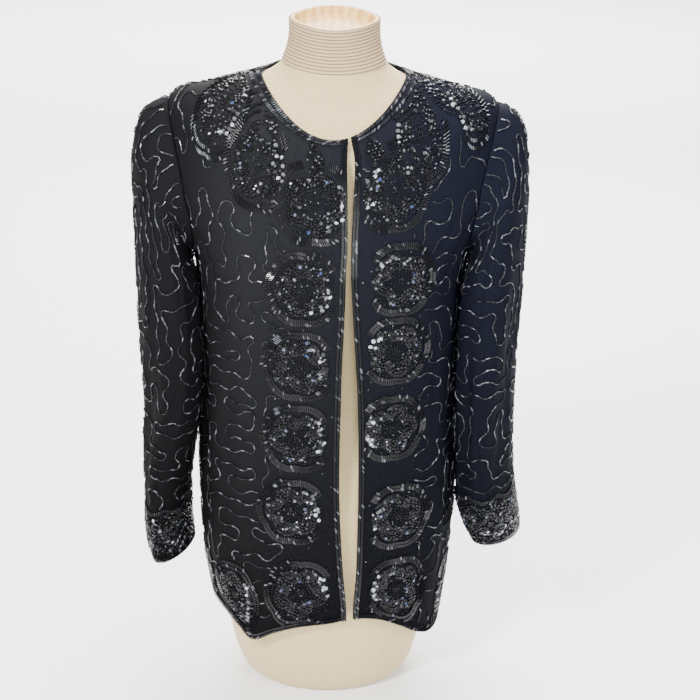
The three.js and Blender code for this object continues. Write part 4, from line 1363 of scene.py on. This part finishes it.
def bead_cuff(name, random):
    """The cuff is covered: rosettes in a row, sequins and beads between them, and a scalloped top."""

    def top(x):
        around = (x - left) / (right - left)
        return CUFF_BAND - CUFF_SCALLOP_DEPTH * np.abs(np.sin(CUFF_SCALLOPS * math.pi * around))

    cloth = flat_cloths[name]
    left, right = cloth["edges"][0][0], cloth["edges"][1][0]
    middles = np.linspace(left, right, CUFF_ROSETTES + 1)[:-1] + (right - left) / (2 * CUFF_ROSETTES)
    height = CUFF_BAND / 2
    for middle in middles:
        for kind, x, y, heading in rosette(random, CUFF_RADIUS, QUARTER, NO_BORDER):
            lay(name, kind, middle + x, height + y, heading)
    corners = (left - CUFF_OVERLAP, CUFF_FOOT), (right + CUFF_OVERLAP, CUFF_BAND)
    x, y = scatter(random, *corners, CUFF_SPACING)
    kept = (room(cloth, x, y, CUFF_MARGINS) > 0) & (y < top(x) - 3 * MM)
    for middle in middles:
        kept &= np.hypot(x - middle, y - height) > CUFF_RADIUS * NEIGHBOUR_CLEAR
    pick = random.random(len(x))
    heading = random.uniform(0, 2 * math.pi, len(x))
    for kind, low, high in CUFF_MIX:
        chosen = kept & (pick >= low) & (pick < high)
        lay(name, kind, x[chosen], y[chosen], heading[chosen])
    for row, (kind, spacing) in enumerate((("seed", SEED_STEP), ("rod", ROD_THICK * 1.3))):
        x = np.arange(left, right, spacing)
        lay(name, kind, x, top(x) + row * CUFF_TOP_STEP, QUARTER)


def bead_front_extras(name, random, found):
    """Lone beads on the plain cloth between the edging and the rosettes."""
    cloth = flat_cloths[name]
    x, y = scatter(random, (-LONE_REACH, LONE_FOOT), (LONE_REACH, cloth["up"][-1]), LONE_SPACING)
    start, end = (np.interp(y, cloth["up"], edge) for edge in cloth["edges"])
    from_edge = end - x if name == "front_right" else x - start
    kept = room(cloth, x, y, (0, 0, EDGING_MARGIN, EDGING_MARGIN)) > 0
    kept &= (from_edge > LONE_FROM_EDGE) & (from_edge < COLUMN_WIDTH + LONE_PAST_COLUMN)
    kept &= random.random(len(x)) < LONE_KEPT
    for a, b, r in found:
        kept &= np.hypot(x - a, y - b) > r * 1.05 + 2 * MM
    lay(name, "seed", x[kept], y[kept], 0)


EDGING_ROWS = (2.0 * MM, 5.6 * MM)  # from the edge to the middle of each row of beads
EDGING_SLANT = 0.55  # radians that each bead is turned from the row's line
EDGING_END = 1.5 * MM
EDGING_CORNER = 8 * MM  # left to the edging of the front edge


def lay_row(piece, name, across, up, heading):
    kind = "cord" if piece == "neck_edging" else "rod"
    lay(name, kind, across, up, heading + EDGING_SLANT, piece)


def bead_edgings():
    for name, side in (("front_right", "right"), ("front_left", "left"), ("back", "back")):
        cloth = flat_cloths[name]
        top = cloth["up"][-1]
        is_back = name == "back"
        for row in EDGING_ROWS:
            for piece, up in (("hem_edging_" + side, row), ("neck_edging", top - row)):
                start, end = (np.interp(up, cloth["up"], edge) for edge in cloth["edges"])
                start += EDGING_END + (EDGING_CORNER if side == "left" else 0)
                end -= EDGING_END + (EDGING_CORNER if side == "right" else 0)
                across = np.arange(start, end, ROD_STEP)
                lay_row(piece, name, across, np.full(len(across), up), 0)
            if is_back:
                continue
            up = np.arange(EDGING_END, top - 1 * MM, ROD_STEP)
            edge = np.interp(up, cloth["up"], cloth["edges"][1 if side == "right" else 0])
            across = edge + (-row if side == "right" else row)
            lay_row("front_edging_" + side, name, across, up, QUARTER)
    for side in ("right", "left"):
        name = "sleeve_" + side
        cloth = flat_cloths[name]
        for row in EDGING_ROWS:
            across = np.arange(cloth["edges"][0][0], cloth["edges"][1][0], ROD_STEP)
            lay_row("cuff_edging_" + side, name, across, np.full(len(across), row), 0)


FACETS = 6  # sides of a bugle, a rod and a sequin
BEAD_INPUTS = {
    "Geometry": "NodeSocketGeometry", "Length": "NodeSocketFloat", "Thickness": "NodeSocketFloat",
    "Unevenness": "NodeSocketFloat", "Seed": "NodeSocketInt", "Material": "NodeSocketMaterial",
}


def bead_shape(tree, kind, given):
    """One bead about the origin: a ball, a cupped disc facing up, or a rod that lies along X."""

    def half_of(output):
        return add_node(tree, "ShaderNodeMath", {0: output, 1: 0.5}, operation="MULTIPLY").outputs[0]

    if kind == "seed":
        ball = {"Radius": half_of(given["Length"])}
        return add_node(tree, "GeometryNodeMeshIcoSphere", ball).outputs["Mesh"]
    if kind in FLAT_KINDS:
        radius = half_of(given["Length"])
        disc = {"Vertices": FACETS, "Radius Bottom": radius, "Radius Top": half_of(radius)}
        disc["Depth"] = given["Thickness"]
        return add_node(tree, "GeometryNodeMeshCone", disc).outputs["Mesh"]
    rod = {"Vertices": FACETS, "Radius": half_of(given["Thickness"]), "Depth": given["Length"]}
    upright = add_node(tree, "GeometryNodeMeshCylinder", rod).outputs["Mesh"]
    lying = {"Geometry": upright, "Rotation": (0, QUARTER, 0)}
    return add_node(tree, "GeometryNodeTransform", lying).outputs["Geometry"]


def uneven_size(tree, given):
    """A random size for each bead, which differs from 1 by the unevenness at most."""
    size = add_node(tree, "FunctionNodeRandomValue", {"Seed": given["Seed"]})
    for name, operation in (("Min", "SUBTRACT"), ("Max", "ADD")):
        bound = add_node(tree, "ShaderNodeMath", {0: 1, 1: given["Unevenness"]}, operation=operation)
        socket = next(s for s in size.inputs if s.name == name and s.type == "VALUE")
        tree.links.new(bound.outputs[0], socket)
    return next(s for s in size.outputs if s.type == "VALUE")


def bead_tree(kind):
    """Geometry nodes that set one bead on each point, turned to its facing and along attributes."""
    tree = bpy.data.node_groups.new(kind + "_beads", "GeometryNodeTree")
    tree.is_modifier = True
    for name, socket_type in BEAD_INPUTS.items():
        tree.interface.new_socket(name, in_out="INPUT", socket_type=socket_type)
    tree.interface.new_socket("Geometry", in_out="OUTPUT", socket_type="NodeSocketGeometry")
    given = add_node(tree, "NodeGroupInput").outputs
    bead = {"Geometry": bead_shape(tree, kind, given), "Shade Smooth": kind == "seed"}
    smooth = add_node(tree, "GeometryNodeSetShadeSmooth", bead)
    axes = {}
    for name, socket in (("facing", "Primary Axis"), ("along", "Secondary Axis")):
        read = add_node(
            tree, "GeometryNodeInputNamedAttribute", {"Name": name}, data_type="FLOAT_VECTOR"
        )
        axes[socket] = read.outputs["Attribute"]
    turned = add_node(tree, "FunctionNodeAxesToRotation", axes, primary_axis="Z", secondary_axis="X")
    placing = {"Points": given["Geometry"], "Instance": smooth.outputs["Geometry"]}
    placing |= {"Rotation": turned.outputs["Rotation"], "Scale": uneven_size(tree, given)}
    on_points = add_node(tree, "GeometryNodeInstanceOnPoints", placing)
    real = add_node(tree, "GeometryNodeRealizeInstances", {"Geometry": on_points.outputs["Instances"]})
    paint = {"Geometry": real.outputs["Geometry"], "Material": given["Material"]}
    painted = add_node(tree, "GeometryNodeSetMaterial", paint)
    add_node(tree, "NodeGroupOutput", {"Geometry": painted.outputs["Geometry"]})
    return tree


# Kind: length, thickness, unevenness of size, material
BEADS = {
    "bugle": (BUGLE_LENGTH, BUGLE_THICK, 0.08, BUGLE_GLASS),
    "rod": (ROD_LENGTH, ROD_THICK, 0.08, SEED_GLASS),
    "cord": (ROD_LENGTH, ROD_THICK, 0.08, BUGLE_GLASS),
    "seed": (SEED_SIZE, SEED_SIZE, 0.12, SEED_GLASS),
    "sequin": (SEQUIN_SIZE, SEQUIN_THICK, 0.1, SEQUIN_FOIL),
    "foil": (1.1 * SEQUIN_SIZE, SEQUIN_THICK, 0.1, FOIL_WITH_PAINTED_FLASH),
}
trees = {kind: bead_tree(kind) for kind in BEADS}


def make_beads(piece, kind, point, facing, along_line, tint_and_glint, seed):
    """One mesh of all the beads of a kind in a piece."""
    mesh = bpy.data.meshes.new(piece)
    mesh.from_pydata((point + SHIFT).tolist(), [], [])
    for name, values in (("facing", facing), ("along", along_line)):
        layer = mesh.attributes.new(name, "FLOAT_VECTOR", "POINT")
        layer.data.foreach_set("vector", values.astype(np.float32).ravel())
    # A random value for each bead, which picks its own colour or a painted glint
    layer = mesh.attributes.new("tint_and_glint", "FLOAT", "POINT")
    layer.data.foreach_set("value", tint_and_glint.astype(np.float32))
    made = link_object(piece, mesh)
    length, thickness, unevenness, material = BEADS[kind]
    given = {
        "Length": length, "Thickness": thickness, "Unevenness": unevenness, "Seed": seed,
        "Material": material,
    }
    modifier = made.modifiers.new("beads", "NODES")
    modifier.node_group = trees[kind]
    for socket in trees[kind].interface.items_tree:
        if socket.in_out == "INPUT" and socket.name in given:
            modifier[socket.identifier] = given[socket.name]
    bpy.context.view_layer.update()
    graph = bpy.context.evaluated_depsgraph_get()
    solid = bpy.data.meshes.new_from_object(made.evaluated_get(graph))
    made.modifiers.clear()
    made.data = solid
    solid.name = piece
    for name in ("facing", "along"):
        solid.attributes.remove(solid.attributes[name])
    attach(made, "root")
    return made


def bead_everything():
    random = np.random.default_rng(41)
    for name in flat_cloths:
        found = [] if name.startswith("sleeve") else rosette_places(name)
        if found:
            bead_rosettes(name, random)
        else:
            bead_cuff(name, random)
        bead_vermicelli(name, random, found)
        if name.startswith("front"):
            bead_front_extras(name, random, found)
    bead_edgings()
    on_cloth = {name: [] for name in flat_cloths}
    for seed, ((piece, kind), on_cloths) in enumerate(laid.items()):
        made = make_beads(piece, kind, *seated(kind, on_cloths, random), seed)
        on_cloth[list(on_cloths)[-1]].append(made)
        if "edging" in piece:
            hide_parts(piece)
            made.name = piece + "_beads"
    return on_cloth


beads_on = bead_everything()


# Stage: floor, light and the last lines
FLOOR_COLOR = (0.93, 0.93, 0.93)
FLOOR_REACH = 8
SKY_STRENGTH = 0.65


def make_floor():
    mesh = bpy.data.meshes.new("floor")
    corners = [(x * FLOOR_REACH, y * FLOOR_REACH, 0) for x, y in ((-1, -1), (1, -1), (1, 1), (-1, 1))]
    mesh.from_pydata(corners, [], [(0, 1, 2, 3)])
    mesh.materials.append(new_material("floor", FLOOR_COLOR, 0.9)[0])
    link_object("floor", mesh)


def add_light(name, place, target, size, power_watts, color=(1, 1, 1)):
    data = bpy.data.lights.new(name, "AREA")
    data.shape = "RECTANGLE"
    data.size, data.size_y = size
    data.energy = power_watts
    data.color = color
    ahead = unit(np.array(target, float) - np.array(place, float))
    right = unit(np.cross(ahead, [0, 0, 1]))
    aim(link_object(name, data), place, right, np.cross(right, ahead), ahead)


make_floor()
add_light("key", (-1.5, -2.1, 2.5), (0, 0, 0.5), (0.5, 0.5), 188)
add_light("fill", (2.0, -1.6, 1.7), (0, 0, 0.45), (1.0, 1.2), 44)
add_light("front", (0.1, -2.3, 1.5), (0, 0, 0.42), (0.6, 0.8), 54, (0.8, 0.9, 1))
add_light("top", (0.2, 0.4, 2.8), (0, 0, 0.5), (1.6, 1.2), 120)
add_light("back", (0.3, 2.6, 1.6), (0, 0, 0.5), (2.0, 1.2), 70)
add_light("backdrop", (0, 5.5, 4.2), (0, 5.6, 0), (6, 4), 1300)
world = bpy.data.worlds.new("studio")
bpy.context.scene.world = world
world.use_nodes = True
world.node_tree.nodes["Background"].inputs["Color"].default_value = (1, 1, 1, 1)
world.node_tree.nodes["Background"].inputs["Strength"].default_value = SKY_STRENGTH
